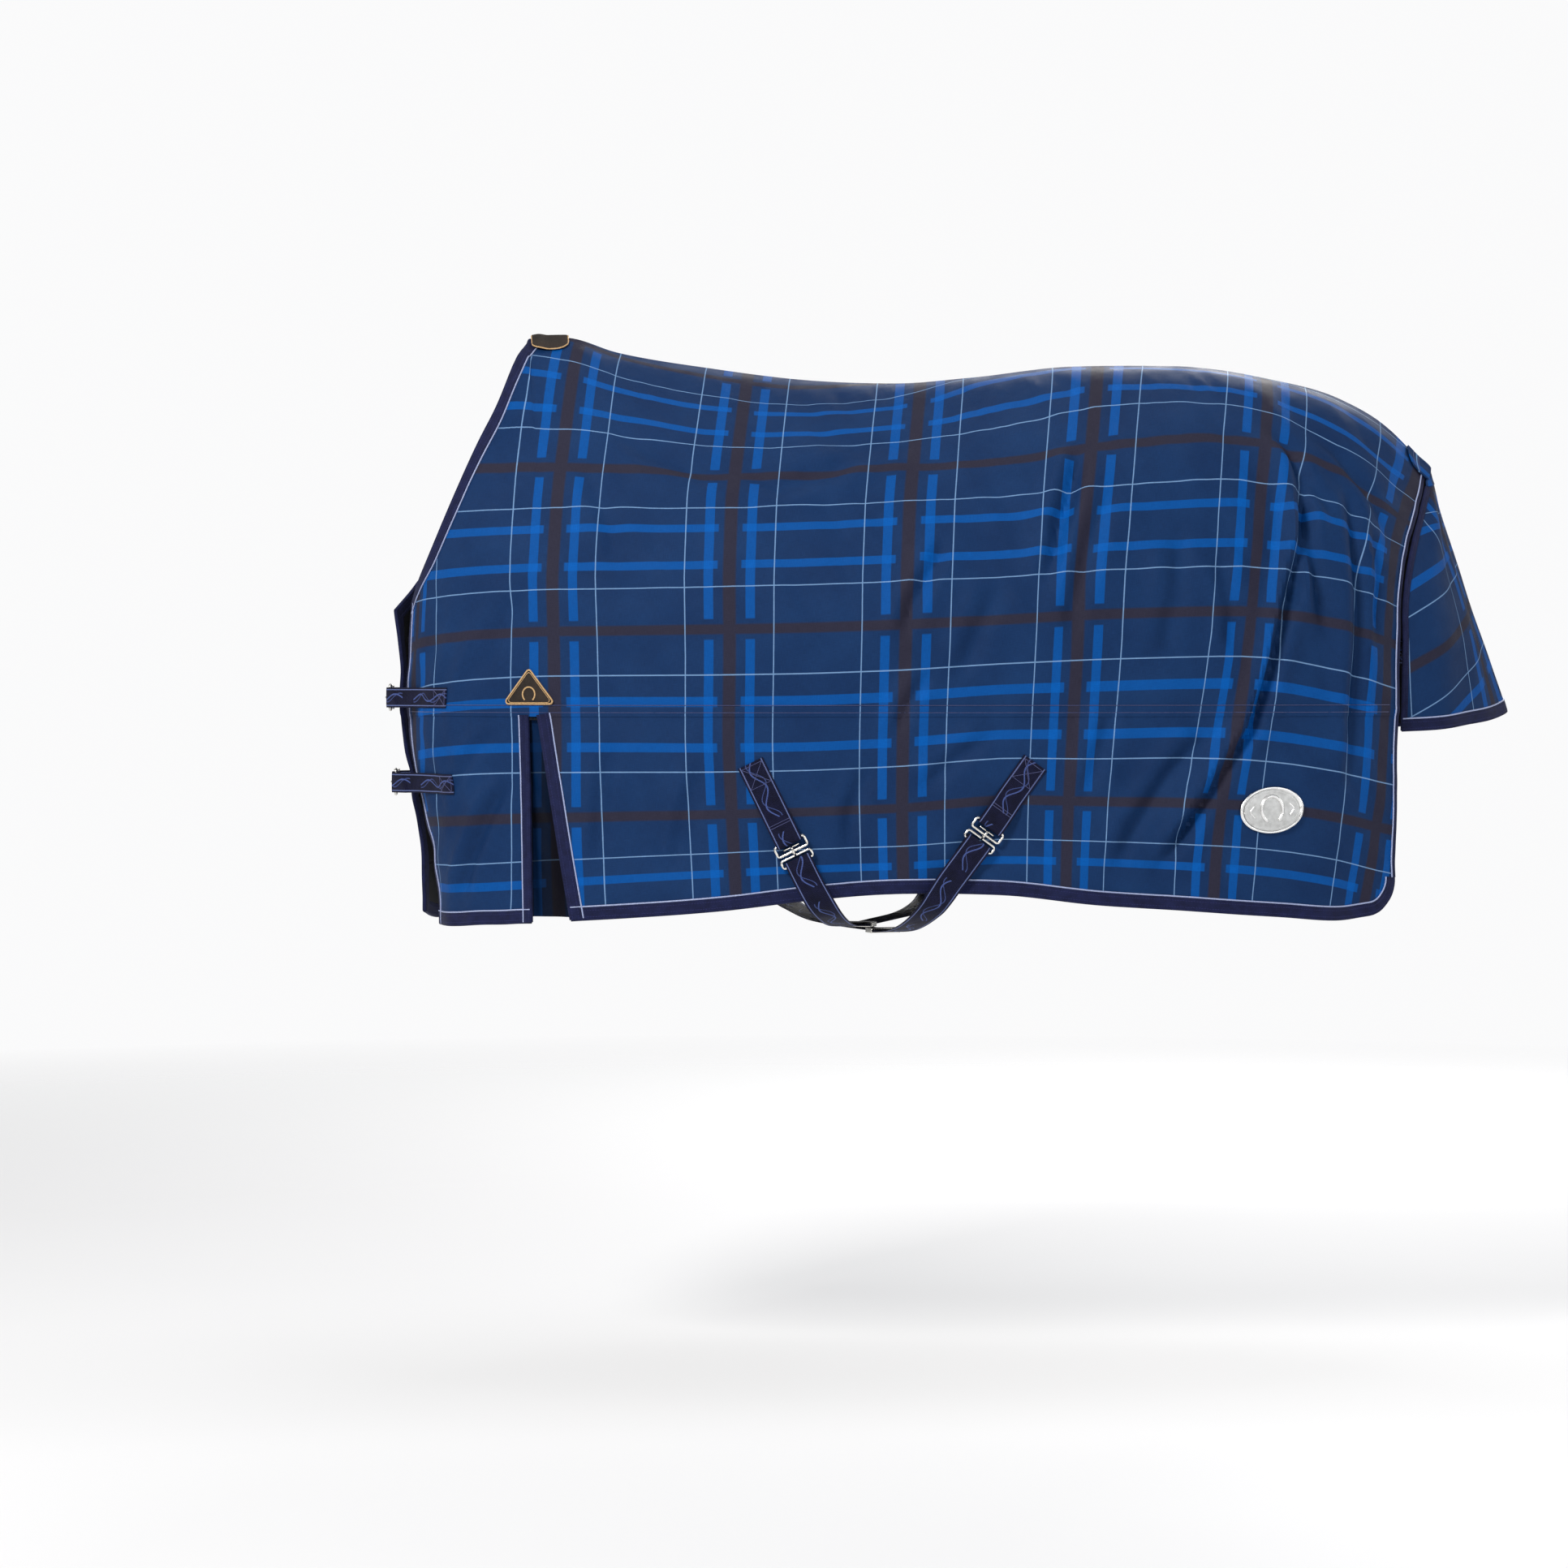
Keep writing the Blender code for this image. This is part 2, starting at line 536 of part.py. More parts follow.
def plate(name, outline, z0, z1, mat, matrix, rim=None):
    """Flat prism on an outline, with an optional smaller raised step."""
    n = len(outline)
    verts = [(a, b, z0) for a, b in outline] + [(a, b, z1) for a, b in outline]
    faces = [tuple(reversed(range(n)))] + [(i, (i + 1) % n, n + (i + 1) % n, n + i) for i in range(n)]
    if rim:
        scale, height = rim
        verts += [(a * scale, b * scale, z1) for a, b in outline] + [(a * scale * 0.985, b * scale * 0.985, z1 - height) for a, b in outline]
        faces += [(n + i, n + (i + 1) % n, 2 * n + (i + 1) % n, 2 * n + i) for i in range(n)]
        faces += [(2 * n + i, 2 * n + (i + 1) % n, 3 * n + (i + 1) % n, 3 * n + i) for i in range(n)]
        faces += [tuple(range(3 * n, 4 * n))]
    else:
        faces += [tuple(range(n, 2 * n))]
    o = make(name, verts, faces, mat)
    o.matrix_world = matrix
    return o


# ---------------------------------------------------------------- reinforcements and badge
def rounded(corners, r, steps=4):
    out = []
    m = len(corners)
    for i in range(m):
        p, a, b = Vector(corners[i]), Vector(corners[i - 1]), Vector(corners[(i + 1) % m])
        da, db = (a - p).normalized(), (b - p).normalized()
        half = da.angle(db) / 2
        cut = r / math.tan(half)
        c = p + (da + db).normalized() * (r / math.sin(half))
        s, e = p + da * cut - c, p + db * cut - c
        turn = s.angle(e)
        sign = 1 if s.x * e.y - s.y * e.x > 0 else -1
        for k in range(steps + 1):
            t = sign * turn * k / steps
            out.append((c.x + s.x * math.cos(t) - s.y * math.sin(t), c.y + s.x * math.sin(t) + s.y * math.cos(t)))
    return out


for side, word in SIDES.items():
    m = frame_at(side, -0.553, -0.466, (0, -1), 0.0034)
    plate(f"gusset_patch_{word}", rounded([(-0.041, 0.019), (0.041, 0.019), (0.0, -0.034)], 0.004), 0.0, 0.0022, LEATHER, m)

# wither patch, folded over the spine behind the neckline
points, normals = [], []
nx, ns = 5, 9
for i in range(nx + 1):
    for j in range(ns + 1):
        x = -0.548 + 0.056 * i / nx
        reach = 0.043 - 0.010 * abs(2 * i / nx - 1) ** 2
        s = -reach + 2 * reach * j / ns
        side = -1 if s < 0 else 1
        u = U_WITHERS[side] + (x + 0.550) / 0.050 * (TABLES[side][0][8] - TABLES[side][0][7])
        points.append(at(side, u, abs(s)))
        n = normal(side, u, max(abs(s), 0.004))
        k = min(1, abs(s) / 0.012)
        n = n * k + np.array([n[0], 0, abs(n[2]) + 0.2]) * (1 - k)
        normals.append(n / np.linalg.norm(n))
faces = oriented(grid_faces(nx + 1, ns + 1), points, normals)
v, f = thicken(points, normals, faces, 0.0102, 0.0080)
make("wither_patch", v, f, LEATHER)

oval = [(0.050 * math.cos(2 * math.pi * i / 40), 0.034 * math.sin(2 * math.pi * i / 40)) for i in range(40)]
plate("hip_badge", oval, 0.0, 0.0032, SILVER, frame_at(-1, 0.529, -0.640, (0.09, -1), 0.0016), rim=(0.86, 0.0010))


# ---------------------------------------------------------------- tail flap and tail strap
FLAP_WRAP = math.radians(68)   # half of the arc the flap wraps round the tail


def flap_point(a, b):
    """a runs -1 to 1 from the near edge over the tail to the far edge, b from the dock to the flap's hem."""
    ridge_x = 0.8290 + 0.112 * b - 0.012 * math.sin(math.pi * b) * (1 - b)
    ridge_z = -0.1300 - 0.368 * b
    edge = at(-1, float(TABLES[-1][0][-1]), 0.040 + 0.455 * b)
    ex, ey, ez = edge[0] + 0.0085 + 0.012 * b * b, -edge[1] - 0.004 * b, edge[2] - 0.004
    ey -= 0.026 * max(0, b - 0.7) / 0.3
    t = a * FLAP_WRAP
    k = (math.cos(t) - math.cos(FLAP_WRAP)) / (1 - math.cos(FLAP_WRAP))
    x = ex + (max(ridge_x, ex + 0.0015) - ex) * k
    y = ey * math.sin(t) / math.sin(FLAP_WRAP)
    z = ez + (ridge_z - ez) * (1 - abs(math.sin(t) / math.sin(FLAP_WRAP)) ** 1.3)
    return np.array([x, y, z])


def flap_grid(rows, cols):
    pts, nrm = [], []
    for i in range(cols + 1):
        for j in range(rows + 1):
            a, b = -1 + 2 * i / cols, j / rows
            p = flap_point(a, b)
            da = flap_point(min(a + 0.02, 1), b) - flap_point(max(a - 0.02, -1), b)
            db = flap_point(a, min(b + 0.02, 1)) - flap_point(a, max(b - 0.02, 0))
            n = -np.cross(da, db)
            pts.append(p), nrm.append(n / np.linalg.norm(n))
    return pts, nrm


FR, FC = 7, 12
pts, nrm = flap_grid(FR, FC)
faces = oriented(grid_faces(FC + 1, FR + 1), pts, nrm)
v, f = thicken(pts, nrm, faces, 0.0, -0.0020)
make("tail_flap", v, f, SHELL)
keep = [i * (FR + 1) + j for i in range(1, FC) for j in range(1, FR + 1)]
inside_faces = oriented(grid_faces(FC - 1, FR), [pts[k] for k in keep], [nrm[k] for k in keep])
v, f = thicken([pts[k] for k in keep], [nrm[k] for k in keep], inside_faces, -0.0026, -0.0037)
make("tail_flap_lining", v, f, LINING)
flap = lambda i, j: (pts[i * (FR + 1) + j], nrm[i * (FR + 1) + j])
bind("tail_flap_binding", [flap(i, FR) for i in range(FC + 1)], [flap(i, FR - 1) for i in range(FC + 1)])

# tail strap: narrow webbing that runs behind the buttocks, under the flap
half = [((0.690, 0.2145, -0.395), (0, 1, 0)), ((0.722, 0.1955, -0.398), (0.3, 1, 0)), ((0.750, 0.165, -0.402), (0.7, 0.8, 0)),
        ((0.778, 0.115, -0.408), (1, 0.5, 0)), ((0.792, 0.060, -0.413), (1, 0.2, 0))]
path = [(x, -y, z) for (x, y, z), _ in half] + [(0.797, 0, -0.415)] + [p for p, _ in half[::-1]]
nn = [(a, -b, c) for _, (a, b, c) in half] + [(1, 0, 0)] + [q for _, q in half[::-1]]
ribbon("tail_strap", path, nn, 0.025, 0.0015, WEBBING)


# ---------------------------------------------------------------- wire fittings
def wire_loop(name, corners, r, mat, matrix, sides=8):
    """Closed loop of round wire through rounded corners in the local XY plane."""
    pts = rounded(corners, 0.0036, 2)
    m = len(pts)
    verts, faces = [], []
    for i in range(m):
        a, p, b = Vector(pts[i - 1]), Vector(pts[i]), Vector(pts[(i + 1) % m])
        t = ((b - p).normalized() + (p - a).normalized()).normalized()
        out = Vector((t.y, -t.x))
        for k in range(sides):
            c = 2 * math.pi * (k + 0.5) / sides
            verts.append((pts[i][0] + out.x * r * math.cos(c), pts[i][1] + out.y * r * math.cos(c), r * math.sin(c)))
    for i in range(m):
        j = (i + 1) % m
        for k in range(sides):
            faces.append((i * sides + k, i * sides + (k + 1) % sides, j * sides + (k + 1) % sides, j * sides + k))
    o = make(name, verts, faces, mat)
    o.matrix_world = matrix
    return o


def rod(points, r, sides=8):
    """Open round rod through points, as verts and faces with capped ends."""
    pts = [Vector(p) for p in points]
    verts, faces = [], []
    ref = Vector((1, 0, 0)) if abs((pts[1] - pts[0]).normalized().x) < 0.7 else Vector((0, 1, 0))
    for i, p in enumerate(pts):
        t = (pts[min(i + 1, len(pts) - 1)] - pts[max(i - 1, 0)]).normalized()
        a = (ref - t * ref.dot(t)).normalized()
        b = t.cross(a)
        for k in range(sides):
            c = 2 * math.pi * (k + 0.5) / sides
            verts.append(tuple(p + a * (r * math.cos(c)) + b * (r * math.sin(c))))
    for i in range(len(pts) - 1):
        for k in range(sides):
            faces.append((i * sides + k, i * sides + (k + 1) % sides, (i + 1) * sides + (k + 1) % sides, (i + 1) * sides + k))
    faces += [tuple(reversed(range(sides))), tuple(range((len(pts) - 1) * sides, len(pts) * sides))]
    return verts, faces


def t_hook(name, width, matrix):
    """Male half of the coupling: a wire loop for the webbing, a stem that goes over the slot plate's bar and down
    through its slot, and a T head across the back that keeps it in."""
    w, s = width / 2 + 0.0036, PLATE_BAR      # the hook turns on the slot plate's far bar, so that bar is its origin
    base = wire_loop(name, [(-w, 0.0220 - s), (w, 0.0220 - s), (w, HOOK_BAR - s), (-w, HOOK_BAR - s)], WIRE_R, STEEL, Matrix.Identity(4))
    stem = [(0.0224, 0.0002), (0.0204, 0.0026), (0.0178, 0.0054), (0.0140, 0.0060), (0.0106, 0.0050), (0.0090, 0.0018), (0.0088, -0.0048)]
    sv, sf = rod([(0, y - s, z) for y, z in stem], 0.0019)
    hv, hf = rod([(-0.0110, 0.0088 - s, -0.0048), (0.0110, 0.0088 - s, -0.0048)], 0.0019)
    for k, (v, f) in enumerate(((sv, sf), (hv, hf))):
        cutter = make(f"{name}_add{k}", v, f, STEEL)
        cutter.hide_render = True
        cutter.display_type = "WIRE"
        mod = base.modifiers.new(f"join{k}", "BOOLEAN")
        mod.operation, mod.object, mod.solver = "UNION", cutter, "EXACT"
        cutter.parent = base
    base.matrix_world = matrix @ Matrix.Translation((0, s, 0))
    return base


def slide(name, width, matrix):
    """Three-bar slide: a flat ring round the webbing with two windows in its face."""
    w = width / 2
    outer = [(-w - 0.0032, -0.0036), (w + 0.0032, -0.0036), (w + 0.0032, 0.0036), (-w - 0.0032, 0.0036)]
    inner = [(-w - 0.0008, -0.0017), (w + 0.0008, -0.0017), (w + 0.0008, 0.0017), (-w - 0.0008, 0.0017)]
    verts = [(x, -0.012, z) for x, z in outer] + [(x, 0.012, z) for x, z in outer] + [(x, -0.012, z) for x, z in inner] + [(x, 0.012, z) for x, z in inner]
    faces = []
    for i in range(4):
        j = (i + 1) % 4
        faces += [(i, j, 4 + j, 4 + i), (8 + j, 8 + i, 12 + i, 12 + j), (i, 8 + i, 8 + j, j), (4 + j, 12 + j, 12 + i, 4 + i)]
    o = make(name, verts, faces, STEEL, smooth=False)
    for k, y in enumerate((-0.0055, 0.0055)):
        a = w - 0.004
        cv = [(x, yy, z) for z in (0.0010, 0.0060) for x, yy in ((-a, y - 0.003), (a, y - 0.003), (a, y + 0.003), (-a, y + 0.003))]
        cf = [(3, 2, 1, 0), (4, 5, 6, 7)] + [(i, (i + 1) % 4, 4 + (i + 1) % 4, 4 + i) for i in range(4)]
        c = make(f"{name}_cut{k}", cv, cf, STEEL, smooth=False)
        c.hide_render = True
        c.display_type = "WIRE"
        c.parent = o
        mod = o.modifiers.new(f"cut{k}", "BOOLEAN")
        mod.operation, mod.object, mod.solver = "DIFFERENCE", c, "EXACT"
    o.matrix_world = matrix
    return o


def local(matrix, pts):
    return [np.array(matrix @ Vector(p)) for p in pts]


def loop_path(radius, steps=6):
    """Half turn round a bar at the local origin, from its outer face to its back, in the local YZ plane."""
    return [(0, radius * math.sin(math.pi * k / steps), radius * math.cos(math.pi * k / steps)) for k in range(steps + 1)]


LIFT = 0.0095            # height of the fittings' bars off the shell

# ---------------------------------------------------------------- belly surcingles
COUPLINGS = {"front": ((-0.180, -0.683), (0.440, -0.898), 0.126), "rear": ((0.1115, -0.661), (-0.585, -0.811), 0.113)}
for word, ((x, z), direction, length) in COUPLINGS.items():
    m = frame_at(-1, x, z, direction, LIFT)
    low = 0.0022 - LIFT
    tab = [(0, -length, low), (0, -length * 0.8, low), (0, -length * 0.62, low + 0.0010), (0, -length * 0.44, low + 0.0038), (0, -0.030, low + 0.0074), (0, -0.012, 0.0035)]
    tab += loop_path(LOOP_R)
    tab += [(0, -0.010, -0.0030), (0, -0.022, -0.0014)]
    pts = local(m, tab)
    nrm = []
    for i in range(len(tab)):
        a, b = Vector(tab[max(i - 1, 0)]), Vector(tab[min(i + 1, len(tab) - 1)])
        t = (b - a).normalized()
        nrm.append(np.array(m.to_3x3() @ Vector((0, -t.z, t.y))))
    ribbon(f"surcingle_tab_{word}", pts, nrm, WEB_W, WEB_T, WEBBING)
    w = WEB_W / 2 + 0.0036
    wire_loop(f"slot_plate_{word}", [(-w, 0), (w, 0), (w, PLATE_BAR), (-w, PLATE_BAR)], WIRE_R, STEEL, m)
    t_hook(f"t_hook_{word}", WEB_W, m)


def smooth_path(points, n):
    """Even points on a smooth curve through the given ones."""
    p = np.array(points, float)
    k = np.concatenate([[0], np.cumsum(np.linalg.norm(np.diff(p, axis=0), axis=1) ** 0.5)])
    fine = []
    for i in range(len(p) - 1):
        m0 = (p[min(i + 1, len(p) - 1)] - p[max(i - 1, 0)]) / (k[min(i + 1, len(p) - 1)] - k[max(i - 1, 0)])
        m1 = (p[min(i + 2, len(p) - 1)] - p[i]) / (k[min(i + 2, len(p) - 1)] - k[i])
        h = k[i + 1] - k[i]
        for t in np.linspace(0, 1, 20, endpoint=False):
            fine.append((2 * t**3 - 3 * t**2 + 1) * p[i] + (t**3 - 2 * t**2 + t) * h * m0 + (-2 * t**3 + 3 * t**2) * p[i + 1] + (t**3 - t**2) * h * m1)
    fine.append(p[-1])
    fine = np.array(fine)
    d = np.concatenate([[0], np.cumsum(np.linalg.norm(np.diff(fine, axis=0), axis=1))])
    s = np.linspace(0, d[-1], n)
    return [np.array([np.interp(q, d, fine[:, c]) for c in range(3)]) for q in s]


# Each long strap is sewn to the far side and crosses under the belly to its near fitting.
BELLY = {
    "front": [(-0.1440, -0.3290, -0.757), (-0.1280, -0.3190, -0.782), (-0.112, -0.285, -0.799), (-0.095, -0.230, -0.8095), (-0.078, -0.180, -0.8130), (-0.0613, -0.130, -0.8136), (-0.0445, -0.080, -0.8142), (-0.014, 0.010, -0.8146),
              (0.036, 0.140, -0.813), (0.070, 0.240, -0.806), (0.090, 0.298, -0.793), (0.106, 0.3290, -0.765), (0.1220, 0.3300, -0.720), (0.150, 0.3210, -0.645), (0.176, 0.3190, -0.575)],
    "rear": [(0.0480, -0.3300, -0.7480), (0.0290, -0.3190, -0.778), (0.012, -0.285, -0.800), (-0.002, -0.230, -0.8150), (-0.0150, -0.180, -0.8218), (-0.0280, -0.130, -0.8226), (-0.0410, -0.080, -0.8234), (-0.0645, 0.010, -0.8242),
             (-0.098, 0.140, -0.8225), (-0.123, 0.238, -0.813), (-0.144, 0.296, -0.799), (-0.161, 0.3270, -0.770), (-0.180, 0.3270, -0.722), (-0.208, 0.3170, -0.645), (-0.234, 0.3130, -0.575)],
}
STRAIGHT = {}
for word, pts in BELLY.items():
    (x, z), direction, _ = COUPLINGS[word]
    m = frame_at(-1, x, z, direction, LIFT)
    y0 = HOOK_BAR
    start = [(0, y0 + 0.026, -0.0026), (0, y0 + 0.012, -0.0046)]
    start += [(0, y0 - q[1], -q[2]) for q in loop_path(LOOP_R_HOOK)]
    start += [(0, y0 + 0.012, 0.0046), (0, y0 + 0.026, 0.0024)]
    a = local(m, start)
    path = a[:-1] + smooth_path([a[-1]] + pts, 56)
    nrm = []
    for i, p in enumerate(path):
        if i < len(start) - 1:
            u0, u1 = Vector(start[max(i - 1, 0)]), Vector(start[min(i + 1, len(start) - 1)])
            t = (u1 - u0).normalized()
            nrm.append(np.array(m.to_3x3() @ Vector((0, -t.z, t.y))))
        else:
            t = path[min(i + 1, len(path) - 1)] - path[i - 1]
            nrm.append(np.array([0, t[2], -t[1]]) / np.hypot(t[1], t[2]))
    ribbon(f"belly_strap_{word}", path, nrm, WEB_W, WEB_T, WEBBING)
    a, b = np.array(pts[3]), np.array(pts[4])
    best = [q for q in path if abs(q[1] + 0.1275) < 0.03]
    c = min(best, key=lambda q: abs(q[1] + 0.1275))
    i = [k for k, q in enumerate(path) if q is c][0]
    t = (path[i + 1] - path[i - 1]) / np.linalg.norm(path[i + 1] - path[i - 1])
    n = np.array([0, 0, -1.0])
    n -= t * (n @ t)
    n /= np.linalg.norm(n)
    xx = np.cross(t, n)
    m = Matrix(((xx[0], t[0], n[0]), (xx[1], t[1], n[1]), (xx[2], t[2], n[2]))).to_4x4()
    m.translation = Vector(c)
    STRAIGHT[word] = (c, t)
    slide(f"belly_slide_{word}", WEB_W, m)

# ---------------------------------------------------------------- chest closures
CHEST = {"upper": -0.476, "lower": -0.603}
CHEST_X = {"upper": -0.7600, "lower": -0.7520}
for word, z in CHEST.items():
    x = CHEST_X[word]
    # local X up, Y to the far side, Z forward
    m = Matrix(((0, 0, -1), (0, 1, 0), (1, 0, 0))).to_4x4()
    m.translation = Vector((x, -0.0270, z))
    w = CHEST_WEB_W / 2 + 0.0036
    wire_loop(f"chest_slot_plate_{word}", [(-w, 0), (w, 0), (w, PLATE_BAR), (-w, PLATE_BAR)], WIRE_R, STEEL, m)
    t_hook(f"chest_t_hook_{word}", CHEST_WEB_W, m)
    # near tab: lies on the near flap and loops round the slot plate's bar
    outer = [np.array(m @ Vector(q)) for q in [(0, -0.010, 0.0036)] + loop_path(LOOP_R) + [(0, -0.009, -0.0034), (0, -0.018, -0.0026)]]
    on = []
    for uu in (0.150, 0.128, 0.105, 0.082):
        d = depth_at_z(-1, uu, z)
        on.append((at(-1, uu, d) + normal(-1, uu, d) * 0.0026, normal(-1, uu, d)))
    path = [q for q, _ in on] + smooth_path([on[-1][0], np.array([x - 0.0015, -0.058, z]), outer[0]], 4)[1:-1] + outer
    nn = [q for _, q in on]
    for i in range(len(on), len(path)):
        a, b = path[i - 1], path[min(i + 1, len(path) - 1)]
        t = (b - a) / np.linalg.norm(b - a)
        nn.append(np.cross(np.array([0, 0, 1.0]), t) * 1.0)
    nn = [n if k < len(on) else (n if n[0] < 0 or k > len(on) + 3 else -n) for k, n in enumerate(nn)]
    ribbon(f"chest_tab_{word}", path, nn, CHEST_WEB_W, WEB_T, WEBBING)
    # far strap: loops round the hook's bar, carries the slide, and is sewn to the far flap
    y0 = HOOK_BAR
    start = [np.array(m @ Vector(q)) for q in [(0, y0 + 0.022, -0.0024), (0, y0 + 0.011, -0.0044)] + [(0, y0 - q[1], -q[2]) for q in loop_path(LOOP_R_HOOK)] + [(0, y0 + 0.011, 0.0046), (0, y0 + 0.024, 0.0016)]]
    on = []
    for uu in (0.118, 0.142, 0.165, 0.188):
        d = depth_at_z(1, uu, z)
        on.append((at(1, uu, d) + normal(1, uu, d) * 0.0028, normal(1, uu, d)))
    straight = [start[-1] + np.array([0.0006 * k, 0.011 * k, 0]) for k in (1, 2, 3, 4)]
    path = start + straight + smooth_path([straight[-1], on[0][0]], 3)[1:-1] + [q for q, _ in on]
    nn = []
    for i in range(len(path)):
        a, b = path[max(i - 1, 0)], path[min(i + 1, len(path) - 1)]
        t = (b - a) / np.linalg.norm(b - a)
        nn.append(np.cross(np.array([0, 0, 1.0]), t))
    ribbon(f"chest_strap_{word}", path, nn, CHEST_WEB_W, WEB_T, WEBBING)
    c = start[-1] * 0.42 + straight[3] * 0.58
    t = (straight[3] - straight[0]) / np.linalg.norm(straight[3] - straight[0])
    n = np.array([-1.0, 0, 0])
    n -= t * (n @ t)
    n /= np.linalg.norm(n)
    xx = np.cross(t, n)
    mm = Matrix(((xx[0], t[0], n[0]), (xx[1], t[1], n[1]), (xx[2], t[2], n[2]))).to_4x4()
    mm.translation = Vector(c)
    STRAIGHT["chest_" + word] = (c, t)
    slide(f"chest_slide_{word}", CHEST_WEB_W, mm)

# the tail flap turns about its seam, across the rug just below the dock
FLAP_HINGE = Vector((0.8290, 0.0, -0.1270))
for word in ("tail_flap", "tail_flap_lining", "tail_flap_binding"):
    o = bpy.data.objects[word]
    o.data.transform(Matrix.Translation(-FLAP_HINGE))
    o.location = FLAP_HINGE
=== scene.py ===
"""The looks of the turnout rug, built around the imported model: draped check cloth with its folds,
lining, bound and piped edges, webbing, leather patches, badge and plated fittings."""

import math

import bmesh
import bpy
import numpy as np
from mathutils import Matrix, Vector
from mathutils.bvhtree import BVHTree


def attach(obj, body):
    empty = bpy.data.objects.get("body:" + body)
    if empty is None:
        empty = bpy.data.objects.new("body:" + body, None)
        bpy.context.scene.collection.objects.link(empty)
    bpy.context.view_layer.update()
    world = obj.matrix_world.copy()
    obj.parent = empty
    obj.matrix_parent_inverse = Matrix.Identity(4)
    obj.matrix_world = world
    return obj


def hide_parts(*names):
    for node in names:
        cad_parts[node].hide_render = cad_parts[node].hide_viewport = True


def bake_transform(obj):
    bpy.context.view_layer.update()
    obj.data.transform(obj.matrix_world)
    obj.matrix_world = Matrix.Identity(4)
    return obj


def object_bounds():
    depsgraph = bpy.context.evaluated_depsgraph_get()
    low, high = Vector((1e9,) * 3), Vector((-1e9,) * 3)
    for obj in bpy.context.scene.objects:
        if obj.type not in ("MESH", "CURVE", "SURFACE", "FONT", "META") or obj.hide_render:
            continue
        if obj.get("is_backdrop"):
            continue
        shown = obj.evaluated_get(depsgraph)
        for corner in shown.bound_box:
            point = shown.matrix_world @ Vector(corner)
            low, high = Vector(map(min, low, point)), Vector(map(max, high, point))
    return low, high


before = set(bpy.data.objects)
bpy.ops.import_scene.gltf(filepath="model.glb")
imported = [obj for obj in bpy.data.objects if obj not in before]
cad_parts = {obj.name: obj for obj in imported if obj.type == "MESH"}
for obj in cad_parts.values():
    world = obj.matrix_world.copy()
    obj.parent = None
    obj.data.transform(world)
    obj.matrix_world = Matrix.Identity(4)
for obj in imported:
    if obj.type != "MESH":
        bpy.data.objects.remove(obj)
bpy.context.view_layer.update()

SHELL_T, LINING_GAP, LINING_T = 0.0016, 0.0006, 0.0012
SEAM_Z = -0.500
BIND_W, BIND_T = 0.0185, 0.0010
WEB_W, WEB_T = 0.040, 0.0018
CHEST_WEB_W = 0.030
WIRE_R, PLATE_BAR, HOOK_BAR = 0.0020, 0.0150, 0.0330
LOOP_R, LOOP_R_HOOK, LIFT = 0.0040, 0.0061, 0.0095
SLOT_FRONT_X = (-0.557, -0.551)
SLOT_REAR_X = (-0.541, -0.493)

# Pattern stations of one side, chest to rear edge: the top point (neckline or spine), the roof
# angle there, the widest point and the hem point. Y is the distance from the middle plane.
STATIONS = [
    # top x, y, z            roof  widest x, y, z           hem x, y, z
    ((-0.727, 0.030, -0.335), 88, (-0.733, 0.028, -0.470), (-0.687, 0.055, -0.814)),
    ((-0.716, 0.078, -0.303), 86, (-0.719, 0.088, -0.480), (-0.677, 0.105, -0.813)),
    ((-0.698, 0.116, -0.262), 80, (-0.692, 0.140, -0.480), (-0.656, 0.148, -0.811)),
    ((-0.662, 0.134, -0.178), 68, (-0.652, 0.184, -0.460), (-0.624, 0.188, -0.807)),
    ((-0.626, 0.124, -0.098), 56, (-0.607, 0.214, -0.430), (-0.590, 0.216, -0.805)),
    ((-0.596, 0.090, -0.036), 46, (-0.577, 0.230, -0.410), (-0.568, 0.232, -0.803)),
    ((-0.566, 0.036, 0.042), 42, (-0.551, 0.241, -0.395), (-0.548, 0.243, -0.802)),
    ((-0.550, 0.000, 0.074), 38, (-0.535, 0.247, -0.390), (-0.533, 0.248, -0.801)),
    ((-0.500, 0.000, 0.078), 36, (-0.490, 0.258, -0.385), (-0.488, 0.260, -0.798)),
    ((-0.418, 0.000, 0.053), 28, (-0.410, 0.276, -0.385), (-0.409, 0.278, -0.793)),
    ((-0.271, 0.000, 0.026), 18, (-0.270, 0.300, -0.390), (-0.270, 0.303, -0.781)),
    ((-0.123, 0.000, 0.008), 14, (-0.123, 0.312, -0.390), (-0.123, 0.314, -0.764)),
    ((0.000, 0.000, 0.004), 13, (0.000, 0.317, -0.385), (0.000, 0.318, -0.757)),
    ((0.125, 0.000, 0.014), 13, (0.125, 0.317, -0.375), (0.125, 0.318, -0.759)),
    ((0.274, 0.000, 0.031), 13, (0.272, 0.313, -0.350), (0.272, 0.316, -0.775)),
    ((0.424, 0.000, 0.033), 14, (0.415, 0.302, -0.330), (0.415, 0.306, -0.785)),
    ((0.574, 0.000, 0.016), 18, (0.545, 0.280, -0.325), (0.545, 0.285, -0.795)),
    ((0.690, 0.000, -0.014), 24, (0.640, 0.252, -0.335), (0.638, 0.256, -0.802)),
    ((0.765, 0.000, -0.057), 30, (0.700, 0.222, -0.350), (0.692, 0.226, -0.797)),
    ((0.822, 0.000, -0.112), 36, (0.737, 0.194, -0.370), (0.728, 0.200, -0.793)),
]
# The far (right) flap's front edge reaches a little further forward than the near one's.
STATIONS_FAR_TIP = [
    ((-0.754, 0.010, -0.345), 88, (-0.744, 0.012, -0.480), (-0.712, 0.030, -0.800)),
    ((-0.724, 0.072, -0.306), 86, (-0.727, 0.082, -0.480), (-0.690, 0.098, -0.812)),
]


